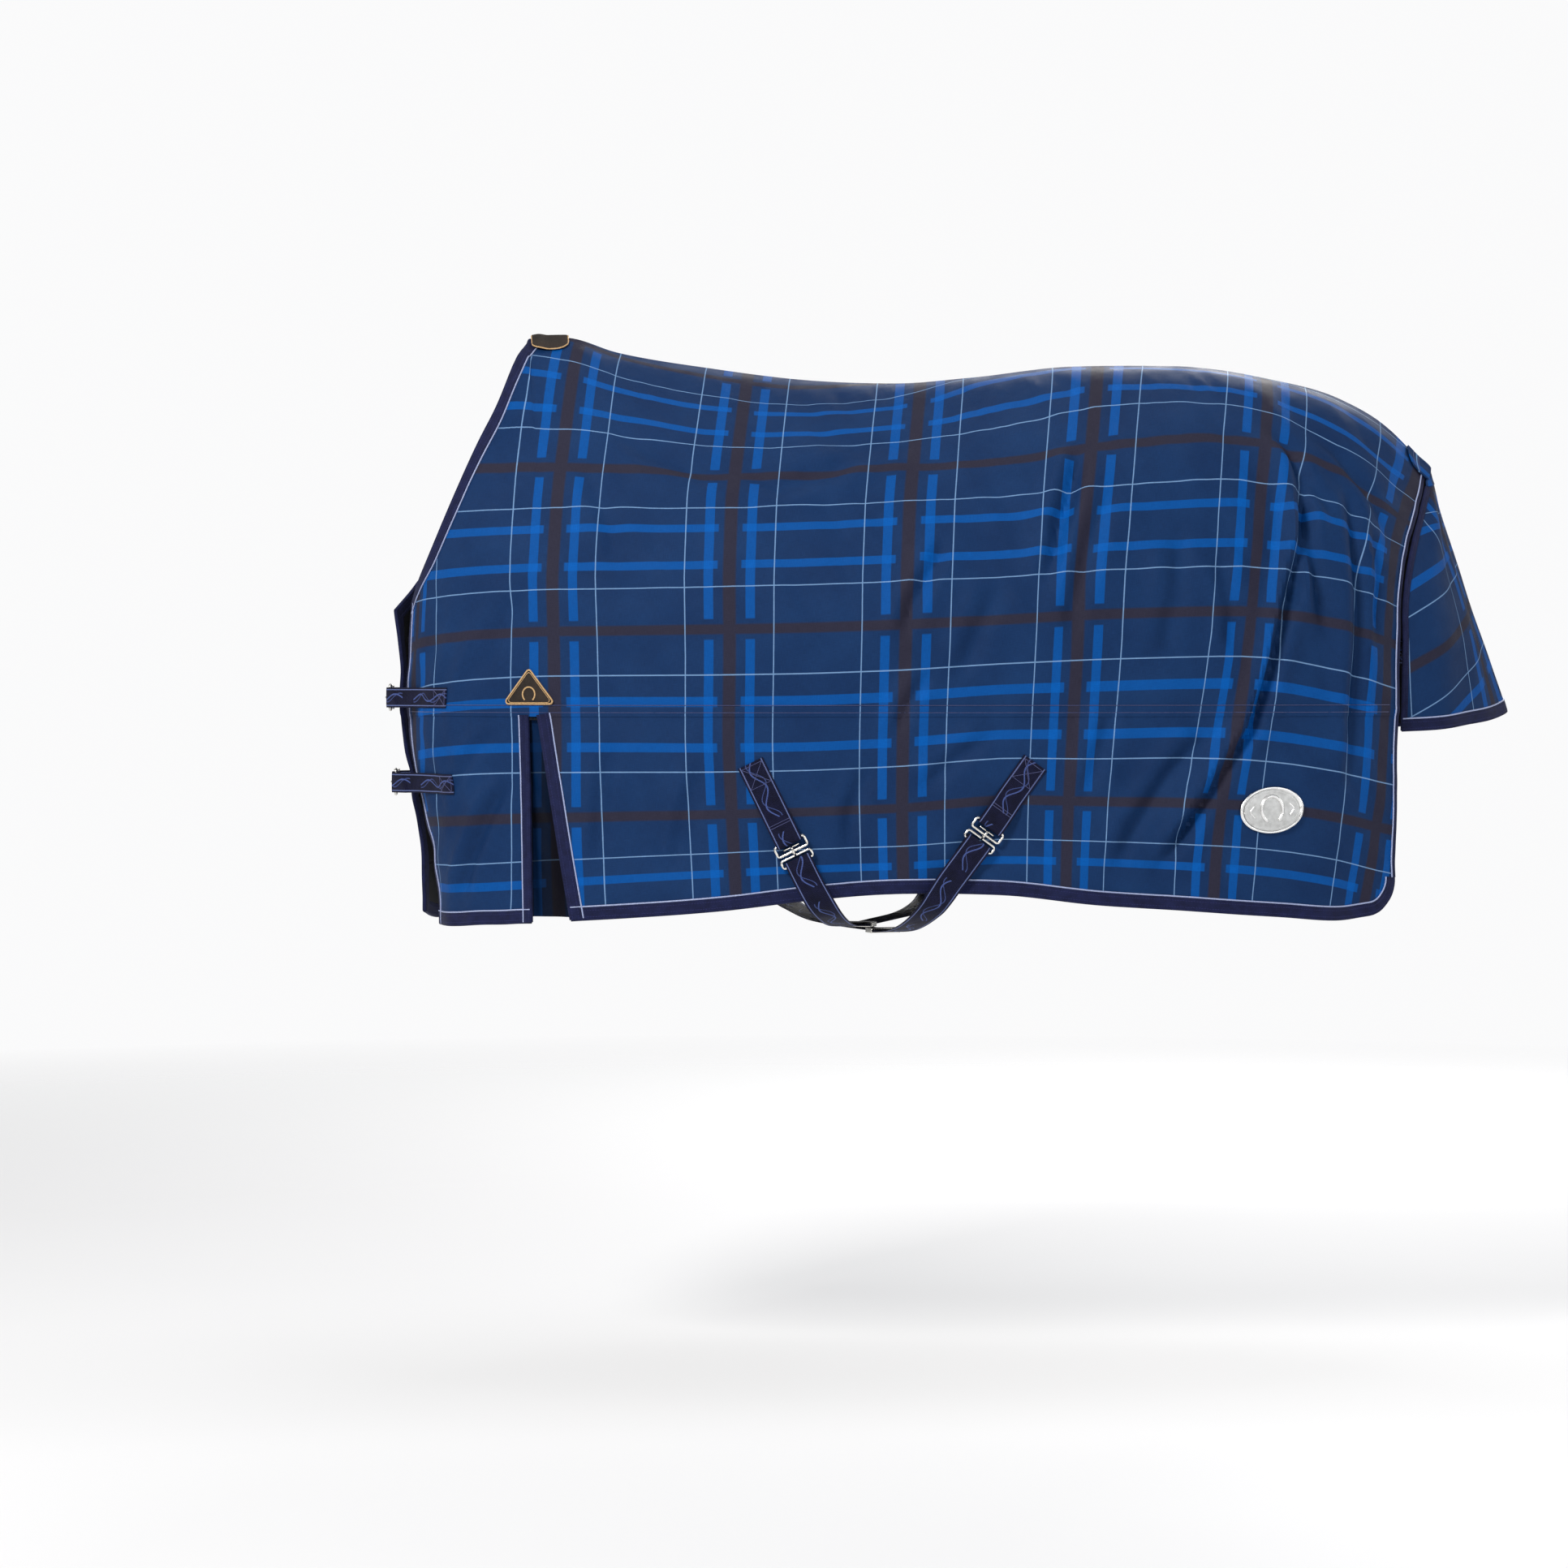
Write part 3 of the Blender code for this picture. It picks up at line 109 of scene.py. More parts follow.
def table_of(stations):
    rows = [list(t) + [r] + list(w) + list(h) for t, r, w, h in stations]
    a = np.array(rows, float)
    step = np.linalg.norm(np.diff(a[:, [4, 5]], axis=0), axis=1)
    return np.concatenate([[0], np.cumsum(step)]), a


WITHERS = 7
CORNER = 0.050
TABLES = {-1: table_of(STATIONS), 1: table_of(STATIONS_FAR_TIP + STATIONS[2:])}
U_WITHERS = {s: float(TABLES[s][0][WITHERS]) for s in (-1, 1)}


def hermite(side, u):
    """The station's ten numbers at distance u along the widest line, by a cubic through the stations."""
    k, a = TABLES[side]
    u = min(max(u, 0.0), k[-1])
    i = min(max(int(np.searchsorted(k, u)) - 1, 0), len(k) - 2)

    def tangent(j):
        if j == 0:
            return (a[1] - a[0]) / (k[1] - k[0])
        if j == len(k) - 1:
            return (a[-1] - a[-2]) / (k[-1] - k[-2])
        d0, d1 = (a[j] - a[j - 1]) / (k[j] - k[j - 1]), (a[j + 1] - a[j]) / (k[j + 1] - k[j])
        w0, w1 = k[j + 1] - k[j], k[j] - k[j - 1]
        m = (d0 * w0 + d1 * w1) / (w0 + w1)
        return np.where(d0 * d1 <= 0, 0, np.sign(m) * np.minimum(np.abs(m), 3 * np.minimum(np.abs(d0), np.abs(d1))))

    h = k[i + 1] - k[i]
    t = (u - k[i]) / h
    m0, m1 = tangent(i) * h, tangent(i + 1) * h
    if i + 1 == WITHERS:    # the neckline crosses the middle plane square on
        m1[0:3] = [0, 1.3 * (a[i + 1][1] - a[i][1]), 0.45 * (a[i + 1][2] - a[i][2])]
    return (2 * t**3 - 3 * t**2 + 1) * a[i] + (t**3 - 2 * t**2 + t) * m0 + (-2 * t**3 + 3 * t**2) * a[i + 1] + (t**3 - t**2) * m1


def bezier(p, n):
    t = np.linspace(0, 1, n)[:, None]
    return (1 - t) ** 3 * p[0] + 3 * (1 - t) ** 2 * t * p[1] + 3 * (1 - t) * t**2 * p[2] + t**3 * p[3]


def smooth01(x):
    x = np.clip(x, 0.0, 1.0)
    return x * x * (3 - 2 * x)


# ------------------------------------------------------------------ the drape, as a dense table per side
NU, ND = 520, 260


def noise2(x, y, seed):
    """Smooth value noise in -1..1."""
    rng = np.random.RandomState(seed)
    grid = rng.uniform(-1, 1, (64, 64))
    xi, yi = np.floor(x).astype(int), np.floor(y).astype(int)
    fx, fy = smooth01(x - xi), smooth01(y - yi)
    g = lambda a, b: grid[a % 64, b % 64]
    top = g(xi, yi) * (1 - fx) + g(xi + 1, yi) * fx
    low = g(xi, yi + 1) * (1 - fx) + g(xi + 1, yi + 1) * fx
    return top * (1 - fy) + low * fy


def crease(x, z, line, width, depth, ends=0.25, skew=0.0):
    """A fold along a line of (x, z, scale) points: a groove with a soft ridge beside it."""
    best = np.full(x.shape, 9.0)
    side = np.zeros(x.shape)
    along = np.zeros(x.shape)
    lengths = [math.dist(p[:2], q[:2]) for p, q in zip(line, line[1:])]
    total, done = sum(lengths), 0.0
    for p, q, seg in zip(line, line[1:], lengths):
        ax, az, bx, bz = p[0], p[1], q[0], q[1]
        t = np.clip(((x - ax) * (bx - ax) + (z - az) * (bz - az)) / seg**2, 0, 1)
        dx, dz = x - (ax + t * (bx - ax)), z - (az + t * (bz - az))
        d = np.hypot(dx, dz)
        s = np.sign(dx * (bz - az) - dz * (bx - ax))
        take = d < best
        best = np.where(take, d, best)
        side = np.where(take, s, side)
        along = np.where(take, (done + t * seg) / total, along)
        done += seg
    fade = smooth01(along / ends) * smooth01((1 - along) / ends)
    s = best * side / width
    groove = -np.exp(-(s**2) * 1.8)
    ridge = 0.75 * np.exp(-((s - 1.35) ** 2) * 0.9) + 0.35 * np.exp(-((s + 1.6) ** 2) * 0.8)
    return depth * fade * (groove + ridge * (1 + skew * np.tanh(s)))


# Folds as (x, z) lines with their width and depth, in metres, and how much of each end fades out.
NEAR_FOLDS = [
    ([(0.592, -0.150), (0.575, -0.250), (0.548, -0.360), (0.528, -0.440), (0.500, -0.520), (0.440, -0.610), (0.385, -0.690), (0.345, -0.745)], 0.013, 0.0125, 0.16),
    ([(0.575, -0.080), (0.582, -0.150), (0.590, -0.240), (0.604, -0.330), (0.618, -0.400)], 0.016, 0.0095, 0.25),
    ([(0.655, -0.130), (0.662, -0.230), (0.668, -0.330), (0.662, -0.480), (0.655, -0.640)], 0.015, 0.0085, 0.25),
    ([(0.690, -0.180), (0.698, -0.300), (0.694, -0.430)], 0.010, 0.0050, 0.3),
    ([(0.600, -0.070), (0.650, -0.110), (0.700, -0.180), (0.730, -0.260)], 0.014, 0.0055, 0.3),
    ([(0.540, -0.060), (0.600, -0.160), (0.640, -0.230)], 0.013, 0.0050, 0.3),
    ([(0.262, -0.095), (0.240, -0.160), (0.215, -0.230), (0.196, -0.320)], 0.016, 0.0085, 0.25),
    ([(0.300, -0.150), (0.262, -0.240), (0.235, -0.340), (0.225, -0.420)], 0.018, 0.0060, 0.3),
    ([(0.395, -0.210), (0.385, -0.330), (0.360, -0.440)], 0.020, 0.0045, 0.3),
    ([(0.445, -0.250), (0.470, -0.350), (0.462, -0.430)], 0.016, 0.0042, 0.3),
    ([(0.055, -0.240), (0.028, -0.290), (-0.002, -0.340), (-0.020, -0.400)], 0.014, 0.0065, 0.25),
    ([(0.030, -0.430), (-0.006, -0.480), (-0.030, -0.540)], 0.012, 0.0050, 0.3),
    ([(0.130, -0.300), (0.090, -0.390), (0.060, -0.460)], 0.018, 0.0045, 0.3),
    ([(0.440, -0.520), (0.380, -0.580), (0.320, -0.670), (0.290, -0.740)], 0.016, 0.0070, 0.25),
    ([(0.300, -0.470), (0.270, -0.560), (0.245, -0.640)], 0.016, 0.0045, 0.3),
    ([(0.130, -0.520), (0.060, -0.565), (0.000, -0.620)], 0.014, 0.0042, 0.3),
    ([(-0.060, -0.560), (-0.090, -0.640), (-0.100, -0.720)], 0.014, 0.0045, 0.3),
    ([(-0.300, -0.560), (-0.330, -0.650), (-0.345, -0.740)], 0.015, 0.0040, 0.3),
    ([(-0.430, -0.520), (-0.450, -0.620), (-0.455, -0.740)], 0.013, 0.0040, 0.3),
    ([(-0.585, -0.590), (-0.615, -0.650), (-0.640, -0.720), (-0.655, -0.780)], 0.012, 0.0065, 0.2),
    ([(-0.600, -0.520), (-0.640, -0.560), (-0.665, -0.620)], 0.010, 0.0035, 0.3),
    ([(-0.560, -0.300), (-0.600, -0.380), (-0.640, -0.470)], 0.018, 0.0035, 0.3),
    ([(-0.440, -0.075), (-0.380, -0.115), (-0.300, -0.150), (-0.220, -0.150)], 0.020, 0.0058, 0.3),
    ([(-0.250, -0.150), (-0.190, -0.170), (-0.110, -0.145), (-0.050, -0.100)], 0.018, 0.0052, 0.3),
    ([(-0.480, -0.120), (-0.440, -0.210), (-0.420, -0.300)], 0.018, 0.0032, 0.3),
    ([(-0.150, -0.080), (-0.060, -0.110), (0.040, -0.090)], 0.020, 0.0036, 0.3),
]
FAR_FOLDS = [
    ([(0.590, -0.130), (0.575, -0.270), (0.530, -0.420), (0.460, -0.560), (0.400, -0.680)], 0.014, 0.0110, 0.2),
    ([(0.670, -0.130), (0.660, -0.320), (0.652, -0.600)], 0.016, 0.0080, 0.25),
    ([(0.600, -0.070), (0.660, -0.140), (0.710, -0.250)], 0.014, 0.0050, 0.3),
    ([(0.290, -0.110), (0.250, -0.220), (0.200, -0.360)], 0.018, 0.0072, 0.3),
    ([(0.400, -0.250), (0.370, -0.380), (0.330, -0.500)], 0.018, 0.0048, 0.3),
    ([(0.050, -0.230), (0.000, -0.330), (-0.040, -0.430)], 0.016, 0.0058, 0.3),
    ([(0.300, -0.520), (0.250, -0.620), (0.230, -0.730)], 0.015, 0.0056, 0.3),
    ([(-0.100, -0.530), (-0.130, -0.640), (-0.140, -0.740)], 0.014, 0.0046, 0.3),
    ([(-0.420, -0.080), (-0.330, -0.140), (-0.220, -0.155)], 0.020, 0.0052, 0.3),
    ([(-0.430, -0.520), (-0.450, -0.640), (-0.450, -0.750)], 0.014, 0.0044, 0.3),
    ([(-0.595, -0.560), (-0.630, -0.660), (-0.655, -0.770)], 0.013, 0.0062, 0.25),
]


def folds(side, x, y, z, arc):
    """How far the cloth stands off its smooth drape, in metres."""
    f = np.zeros(x.shape)
    hang = smooth01((-0.34 - z) / 0.42)              # free of the barrel below its widest line
    off_spine = smooth01(arc / 0.10)
    p = 0.0 if side < 0 else 3.7                      # the far side hangs differently
    # slow swells of the loose lower cloth
    f += hang * 0.0050 * np.sin(x * 17.0 + 1.1 + p + 2.2 * z) * smooth01((x + 0.50) / 0.15) * smooth01((0.70 - x) / 0.10)
    f += hang * 0.0026 * np.sin(x * 41.0 + 0.3 + p * 2 - 3.0 * z + 1.5 * np.sin(x * 9))
    # broad unevenness of the lofted cloth
    f += off_spine * 0.0022 * noise2(x * 7.0 + 11 + p, z * 5.0 + 3, 5)
    f += off_spine * 0.0011 * noise2(x * 19.0 + 5 + p, z * 11.0 + z * x * 5, 8)
    slant = x + 0.55 * z
    f += off_spine * 0.0022 * noise2(slant * 30.0 + 40 + p, (z - 0.4 * x) * 7.0 + 20, 13) * (0.40 + 0.60 * smooth01((x + 0.1) / 0.5))
    f += off_spine * 0.0007 * noise2(slant * 70.0 + 30 + p, (z - 0.4 * x) * 16.0 + 20, 17)
    lines = NEAR_FOLDS if side < 0 else FAR_FOLDS
    for line, width, depth, ends in lines:
        f += crease(x, z, line, width, depth * 1.3, ends, 0.2)
    # small upright wrinkles where the front edge is drawn up by the closures
    near_front = smooth01((-0.600 - x) / 0.08)
    f += near_front * 0.0016 * np.sin(x * 190 + 3 * np.sin(z * 22 + p)) * smooth01((-0.30 - z) / 0.1)
    # puckers along the sewn panel seam
    seam = np.exp(-(((z - SEAM_Z) / 0.020) ** 2))
    f += seam * (0.0006 * np.sin(x * 330 + 2 * np.sin(x * 31)) * (0.4 + 0.6 * noise2(x * 16, z * 0 + 2.0, 3) ** 2) - 0.0010)
    # the cloth lies flat under the badge, tabs and patches
    for cx, cz, r in ((0.529, -0.640, 0.075), (-0.235, -0.585, 0.045), (-0.200, -0.645, 0.050), (-0.170, -0.700, 0.060), (0.180, -0.580, 0.045), (0.150, -0.625, 0.050), (0.100, -0.690, 0.060),
                      (-0.553, -0.470, 0.050)):
        if side < 0 or cx == -0.553:
            f *= 1 - 0.85 * smooth01(1.6 - np.hypot(x - cx, z - cz) / r)
    if side > 0:
        for cx, cz in ((0.150, -0.640), (0.125, -0.720), (-0.205, -0.640), (-0.180, -0.720)):
            f *= 1 - 0.85 * smooth01(1.6 - np.hypot(x - cx, z - cz) / 0.055)
    return f * smooth01(arc / 0.05)


# How far the cloth is pulled out of the straight, in millimetres: rows run along the widest line from
# the front edge to the rear, columns from the hem up to the spine.
PULL_U = [0.0, 0.1, 0.2, 0.3, 0.42, 0.56, 0.7, 0.84, 0.98, 1.12, 1.24, 1.34, 1.42, 1.5, 1.61]
PULL_D = [-0.31, -0.22, -0.13, -0.04, 0.08, 0.2, 0.32, 0.44, 0.56, 0.68]
PULL_WARP = [
    [143, 116, 86, 59, 34, 16, -1, -20, -39, -58],
    [91, 75, 53, 33, 25, 16, -1, -19, -38, -57],
    [44, 37, 28, 20, 16, 12, -2, -18, -36, -55],
    [11, 12, 10, 7, 8, 10, -2, -17, -33, -53],
    [-6, -2, 2, 4, 7, 11, 2, -16, -31, -49],
    [-7, -3, 3, 8, 6, 7, 1, -16, -32, -44],
    [0, 4, 8, 9, 7, 5, -2, -15, -29, -42],
    [8, 12, 13, 12, 9, 6, -3, -19, -35, -48],
    [20, 19, 18, 15, 9, 2, -7, -20, -36, -50],
    [38, 35, 30, 24, 16, 12, -4, -23, -41, -57],
    [63, 61, 50, 24, 8, 1, -9, -24, -43, -63],
    [77, 68, 59, 42, 15, 1, -10, -23, -39, -57],
    [81, 68, 60, 52, 33, 13, -4, -17, -28, -37],
    [77, 59, 48, 43, 36, 24, 8, -9, -14, -15],
    [66, 48, 35, 29, 30, 29, 23, 13, 13, 15],
]
PULL_WEFT = [
    [-15, -19, -23, -26, -32, -41, -60, -88, -123, -162],
    [-20, -23, -27, -35, -45, -46, -56, -80, -115, -154],
    [-27, -29, -33, -42, -54, -53, -53, -73, -107, -143],
    [-35, -36, -36, -44, -59, -57, -55, -68, -98, -125],
    [-47, -42, -38, -44, -60, -58, -57, -64, -75, -86],
    [-61, -51, -40, -43, -61, -61, -57, -39, -39, -47],
    [-72, -59, -44, -44, -63, -64, -64, -49, -24, -44],
    [-79, -63, -50, -50, -67, -69, -75, -72, -60, -101],
    [-82, -74, -64, -61, -75, -75, -79, -80, -117, -176],
    [-77, -69, -60, -60, -81, -85, -87, -105, -147, -200],
    [-68, -62, -58, -63, -84, -89, -96, -120, -155, -195],
    [-58, -56, -54, -61, -86, -91, -101, -123, -150, -173],
    [-47, -47, -46, -55, -80, -85, -89, -103, -126, -142],
    [-32, -34, -34, -44, -67, -73, -63, -59, -78, -100],
    [-8, -10, -14, -26, -41, -27, 18, 25, 1, -32],
]


def pull(table, u, up):
    t = np.array(table, float) / 1000
    fu = np.interp(u, PULL_U, np.arange(len(PULL_U)))
    fd = np.interp(up, PULL_D, np.arange(len(PULL_D)))
    i, j = np.clip(fu.astype(int), 0, len(PULL_U) - 2), np.clip(fd.astype(int), 0, len(PULL_D) - 2)
    a, b = fu - i, fd - j
    return (t[i, j] * (1 - a) + t[i + 1, j] * a) * (1 - b) + (t[i, j + 1] * (1 - a) + t[i + 1, j + 1] * a) * b


def pulled(table, u, up):
    """The same, with the table's corners rounded off."""
    out = 0
    for du, dd in ((0, 0), (0.035, 0), (-0.035, 0), (0, 0.03), (0, -0.03)):
        out = out + pull(table, u + du, up + dd)
    return out / 5


class Drape:
    def __init__(self, side):
        self.side = side
        self.k, _ = TABLES[side]
        self.top = float(self.k[-1])
        self.withers = U_WITHERS[side]
        corner = self.top - CORNER + CORNER * np.sin(np.linspace(0, math.pi / 2, 40))
        self.us = np.unique(np.concatenate([np.linspace(0, self.withers, 171), np.linspace(self.withers, self.top - CORNER, NU - 210), corner]))
        self.nu = len(self.us)
        P = np.zeros((self.nu, ND, 3))
        L = np.zeros(self.nu)
        for i, u in enumerate(self.us):
            r = hermite(side, u)
            top, roof, wide, hem = r[0:3], math.radians(r[3]), r[4:7], r[7:10]
            drop, half = top[2] - wide[2], max(wide[1] - top[1], 0.02)
            h1 = min(0.55 * half / max(math.cos(roof), 0.3), 0.55 * drop)
            p1 = top + np.array([0.35 * (wide[0] - top[0]), h1 * math.cos(roof), -h1 * math.sin(roof)])
            p2 = wide + np.array([0, 0, 0.45 * drop])
            low = wide[2] - hem[2]
            q1, q2 = wide - np.array([0, 0, 0.35 * low]), hem + np.array([0, 0, 0.35 * low])
            t = np.linspace(0, 1, 161)[:, None]
            s = np.linspace(0, 1, 81)[1:, None]
            bz = lambda p, t: (1 - t) ** 3 * p[0] + 3 * (1 - t) ** 2 * t * p[1] + 3 * (1 - t) * t**2 * p[2] + t**3 * p[3]
            pts = np.concatenate([bz([top, p1, p2, wide], t), bz([wide, q1, q2, hem], s)])
            # the spine is rounded, not a crease
            fade = float(smooth01(1 - (self.withers - u) / 0.08))
            pts[:, 2] -= math.tan(math.radians(min(r[3], 45))) * 0.015 * fade * np.exp(-((pts[:, 1] / 0.034) ** 2))
            pts[:, 1] *= side
            d = np.concatenate([[0], np.cumsum(np.linalg.norm(np.diff(pts, axis=0), axis=1))])
            # the rear lower corner is rounded off
            over = max(0.0, u - (self.top - CORNER))
            L[i] = d[-1] - (CORNER - math.sqrt(max(CORNER**2 - over**2, 0.0)))
            share = np.linspace(0, L[i], ND)
            for c in range(3):
                P[i, :, c] = np.interp(share, d, pts[:, c])
        self.P, self.L = P, L
        du = np.gradient(P, self.us, axis=0)
        dv = np.gradient(P, axis=1)
        N = np.cross(du, dv) * side
        N /= np.linalg.norm(N, axis=2)[:, :, None]
        i0 = int(np.searchsorted(self.us, self.withers - 1e-9))
        N[i0:, 0, 1] = 0
        N[:, 0] /= np.linalg.norm(N[:, 0], axis=1)[:, None]
        self.N = N
        arc = np.linspace(0, 1, ND)[None, :] * L[:, None]
        self.ARC = arc
        self.F = folds(side, P[:, :, 0], P[:, :, 1], P[:, :, 2], arc)
        # distance above the panel seam, for the weave
        self.SEAM = np.array([np.interp(-SEAM_Z, -P[i, :, 2], arc[i]) for i in range(self.nu)])
        wide_x = np.array([hermite(side, u)[4] for u in self.us])
        self.zero = float(np.interp(0.0, wide_x, self.us))

    def index(self, u, d):
        u = np.clip(np.asarray(u, float), 0, self.top)
        fi = np.interp(u, self.us, np.arange(self.nu))
        i = np.clip(np.floor(fi).astype(int), 0, self.nu - 2)
        a = fi - i
        length = self.L[i] * (1 - a) + self.L[i + 1] * a
        fj = np.clip(np.asarray(d, float) / length, 0, 1) * (ND - 1)
        j = np.clip(np.floor(fj).astype(int), 0, ND - 2)
        return i, a, j, fj - j

    def get(self, field, u, d):
        i, a, j, b = self.index(u, d)
        if field.ndim == 3:
            a, b = a[..., None], b[..., None]
        return (field[i, j] * (1 - a) + field[i + 1, j] * a) * (1 - b) + (field[i, j + 1] * (1 - a) + field[i + 1, j + 1] * a) * b

    def at(self, u, d, off=0.0):
        u, d = np.broadcast_arrays(np.asarray(u, float), np.asarray(d, float))
        n = self.normal(u, d)
        return self.get(self.P, u, d) + n * (self.get(self.F, u, d) + off)[..., None]

    def normal(self, u, d):
        u, d = np.broadcast_arrays(np.asarray(u, float), np.asarray(d, float))
        n = self.get(self.N, u, d)
        return n / np.linalg.norm(n, axis=-1)[..., None]

    def length(self, u):
        return np.interp(u, self.us, self.L)

    def seam(self, u):
        return np.interp(u, self.us, self.SEAM)

    def depth(self, u, z):
        u = np.atleast_1d(u)
        out = []
        for q, w in zip(u, np.broadcast_to(z, u.shape)):
            i = int(np.clip(np.interp(q, self.us, np.arange(self.nu)), 0, self.nu - 2))
            a = np.interp(q, self.us, np.arange(self.nu)) - i
            col = self.P[i, :, 2] * (1 - a) + self.P[i + 1, :, 2] * a
            arc = self.ARC[i] * (1 - a) + self.ARC[i + 1] * a
            out.append(np.interp(-w, -col, arc))
        return np.array(out)

    def u_at(self, x, z):
        """The column that passes x at height z."""
        lo, hi = 0.0, self.top
        for _ in range(30):
            mid = (lo + hi) / 2
            if self.get(self.P, mid, self.depth(mid, z)[0])[0] < x:
                lo = mid
            else:
                hi = mid
        return (lo + hi) / 2

    def weave(self, u, d):
        """Where a point lies on the flat cloth: metres along the warp's stations and up from the panel seam."""
        u, d = np.broadcast_arrays(np.asarray(u, float), np.asarray(d, float))
        up = self.seam(u) - d
        return u - self.zero + pulled(PULL_WARP, u, up), up + pulled(PULL_WEFT, u, up)


DRAPE = {s: Drape(s) for s in (-1, 1)}
SIDES = {-1: "left", 1: "right"}
PIECES = {}


# ------------------------------------------------------------------ mesh helpers
def build(name, verts, faces, mat, uvs=None, sharp=40, merge=None):
    me = bpy.data.meshes.new(name)
    me.from_pydata(np.asarray(verts, float).tolist(), [], [tuple(int(i) for i in f) for f in faces])
    if uvs is not None:
        layer = me.uv_layers.new(name="cloth")
        uvs = np.asarray(uvs, float)
        loops = np.zeros(len(me.loops), int)
        me.loops.foreach_get("vertex_index", loops)
        layer.data.foreach_set("uv", uvs[loops].astype(np.float32).ravel())
    bm = bmesh.new()
    bm.from_mesh(me)
    if merge:
        bmesh.ops.remove_doubles(bm, verts=bm.verts, dist=merge)
    bmesh.ops.recalc_face_normals(bm, faces=bm.faces)
    bm.to_mesh(me)
    bm.free()
    me.materials.append(mat)
    me.shade_smooth()
    if sharp:
        me.set_sharp_from_angle(angle=math.radians(sharp))
    o = bpy.data.objects.new(name, me)
    bpy.context.scene.collection.objects.link(o)
    PIECES[name] = o
    return o


def quads(nu, nv, base=0):
    i, j = np.meshgrid(np.arange(nu - 1), np.arange(nv - 1), indexing="ij")
    a = base + i * nv + j
    return np.stack([a, a + nv, a + nv + 1, a + 1], -1).reshape(-1, 4)


def slab(out, inn, uv):
    """Closed sheet between two grids of points."""
    nu, nv = out.shape[:2]
    n = nu * nv
    faces = [quads(nu, nv), quads(nu, nv, n)[:, ::-1]]
    ring = [i * nv for i in range(nu)] + [(nu - 1) * nv + j for j in range(1, nv)] + [i * nv + nv - 1 for i in range(nu - 2, -1, -1)] + [j for j in range(nv - 2, 0, -1)]
    ring = np.array(ring)
    nxt = np.roll(ring, -1)
    faces.append(np.stack([ring, nxt, nxt + n, ring + n], -1))
    return np.concatenate([out.reshape(-1, 3), inn.reshape(-1, 3)]), np.concatenate(faces), np.concatenate([uv.reshape(-1, 2)] * 2)


def open_grid(name, side, U, D, hi, lo, mat, merge=None):
    g = DRAPE[side]
    uv = np.stack(g.weave(U, D), -1)
    v, f, t = slab(g.at(U, D, hi), g.at(U, D, lo), uv)
    return build(name, v, f, mat, t, merge=merge)


def spine_sheet(name, hi, lo, mat, lapped=False, extra=0.0):
    """The back panel: one cloth over the spine, with its neckline cut out in front of the withers."""
    parts = []
    for side in (-1, 1):
        g = DRAPE[side]
        us = np.concatenate([np.linspace(0, g.withers, 52), np.linspace(g.withers, g.top, 210)[1:]])
        t = np.concatenate([np.linspace(0, 0.955, 104), np.linspace(0.955, 1, 14)[1:]])
        D = g.seam(us)[:, None] * t[None, :]
        U = np.repeat(us[:, None], len(t), 1)
        near = g.seam(us)[:, None] - D
        D = D + extra * t[None, :]
        lap = 0.0010 * smooth01((0.0165 - near) / 0.0045) * (1 if lapped else 0)
        parts.append((g.at(U, D, hi + lap), g.at(U, D, lo + lap), np.stack(g.weave(U, D), -1), g))
    verts, faces, uvs, ids = [], [], [], []
    n = 0
    grids = []
    for out, inn, uv, g in parts:
        nu, nv = out.shape[:2]
        grids.append((n, nu, nv))
        verts += [out.reshape(-1, 3), inn.reshape(-1, 3)]
        uvs += [uv.reshape(-1, 2)] * 2
        faces += [quads(nu, nv, n), quads(nu, nv, n + nu * nv)[:, ::-1]]
        ring = [i * nv for i in range(52)][::-1] + [j for j in range(1, nv)] + [i * nv + nv - 1 for i in range(1, nu)] + [(nu - 1) * nv + j for j in range(nv - 2, -1, -1)]
        ring = np.array(ring)
        a, b = ring[:-1], ring[1:]
        faces.append(np.stack([a + n, b + n, b + n + nu * nv, a + n + nu * nv], -1))
        n += 2 * nu * nv
    return build(name, np.concatenate(verts), np.concatenate(faces), mat, np.concatenate(uvs), merge=0.00005)



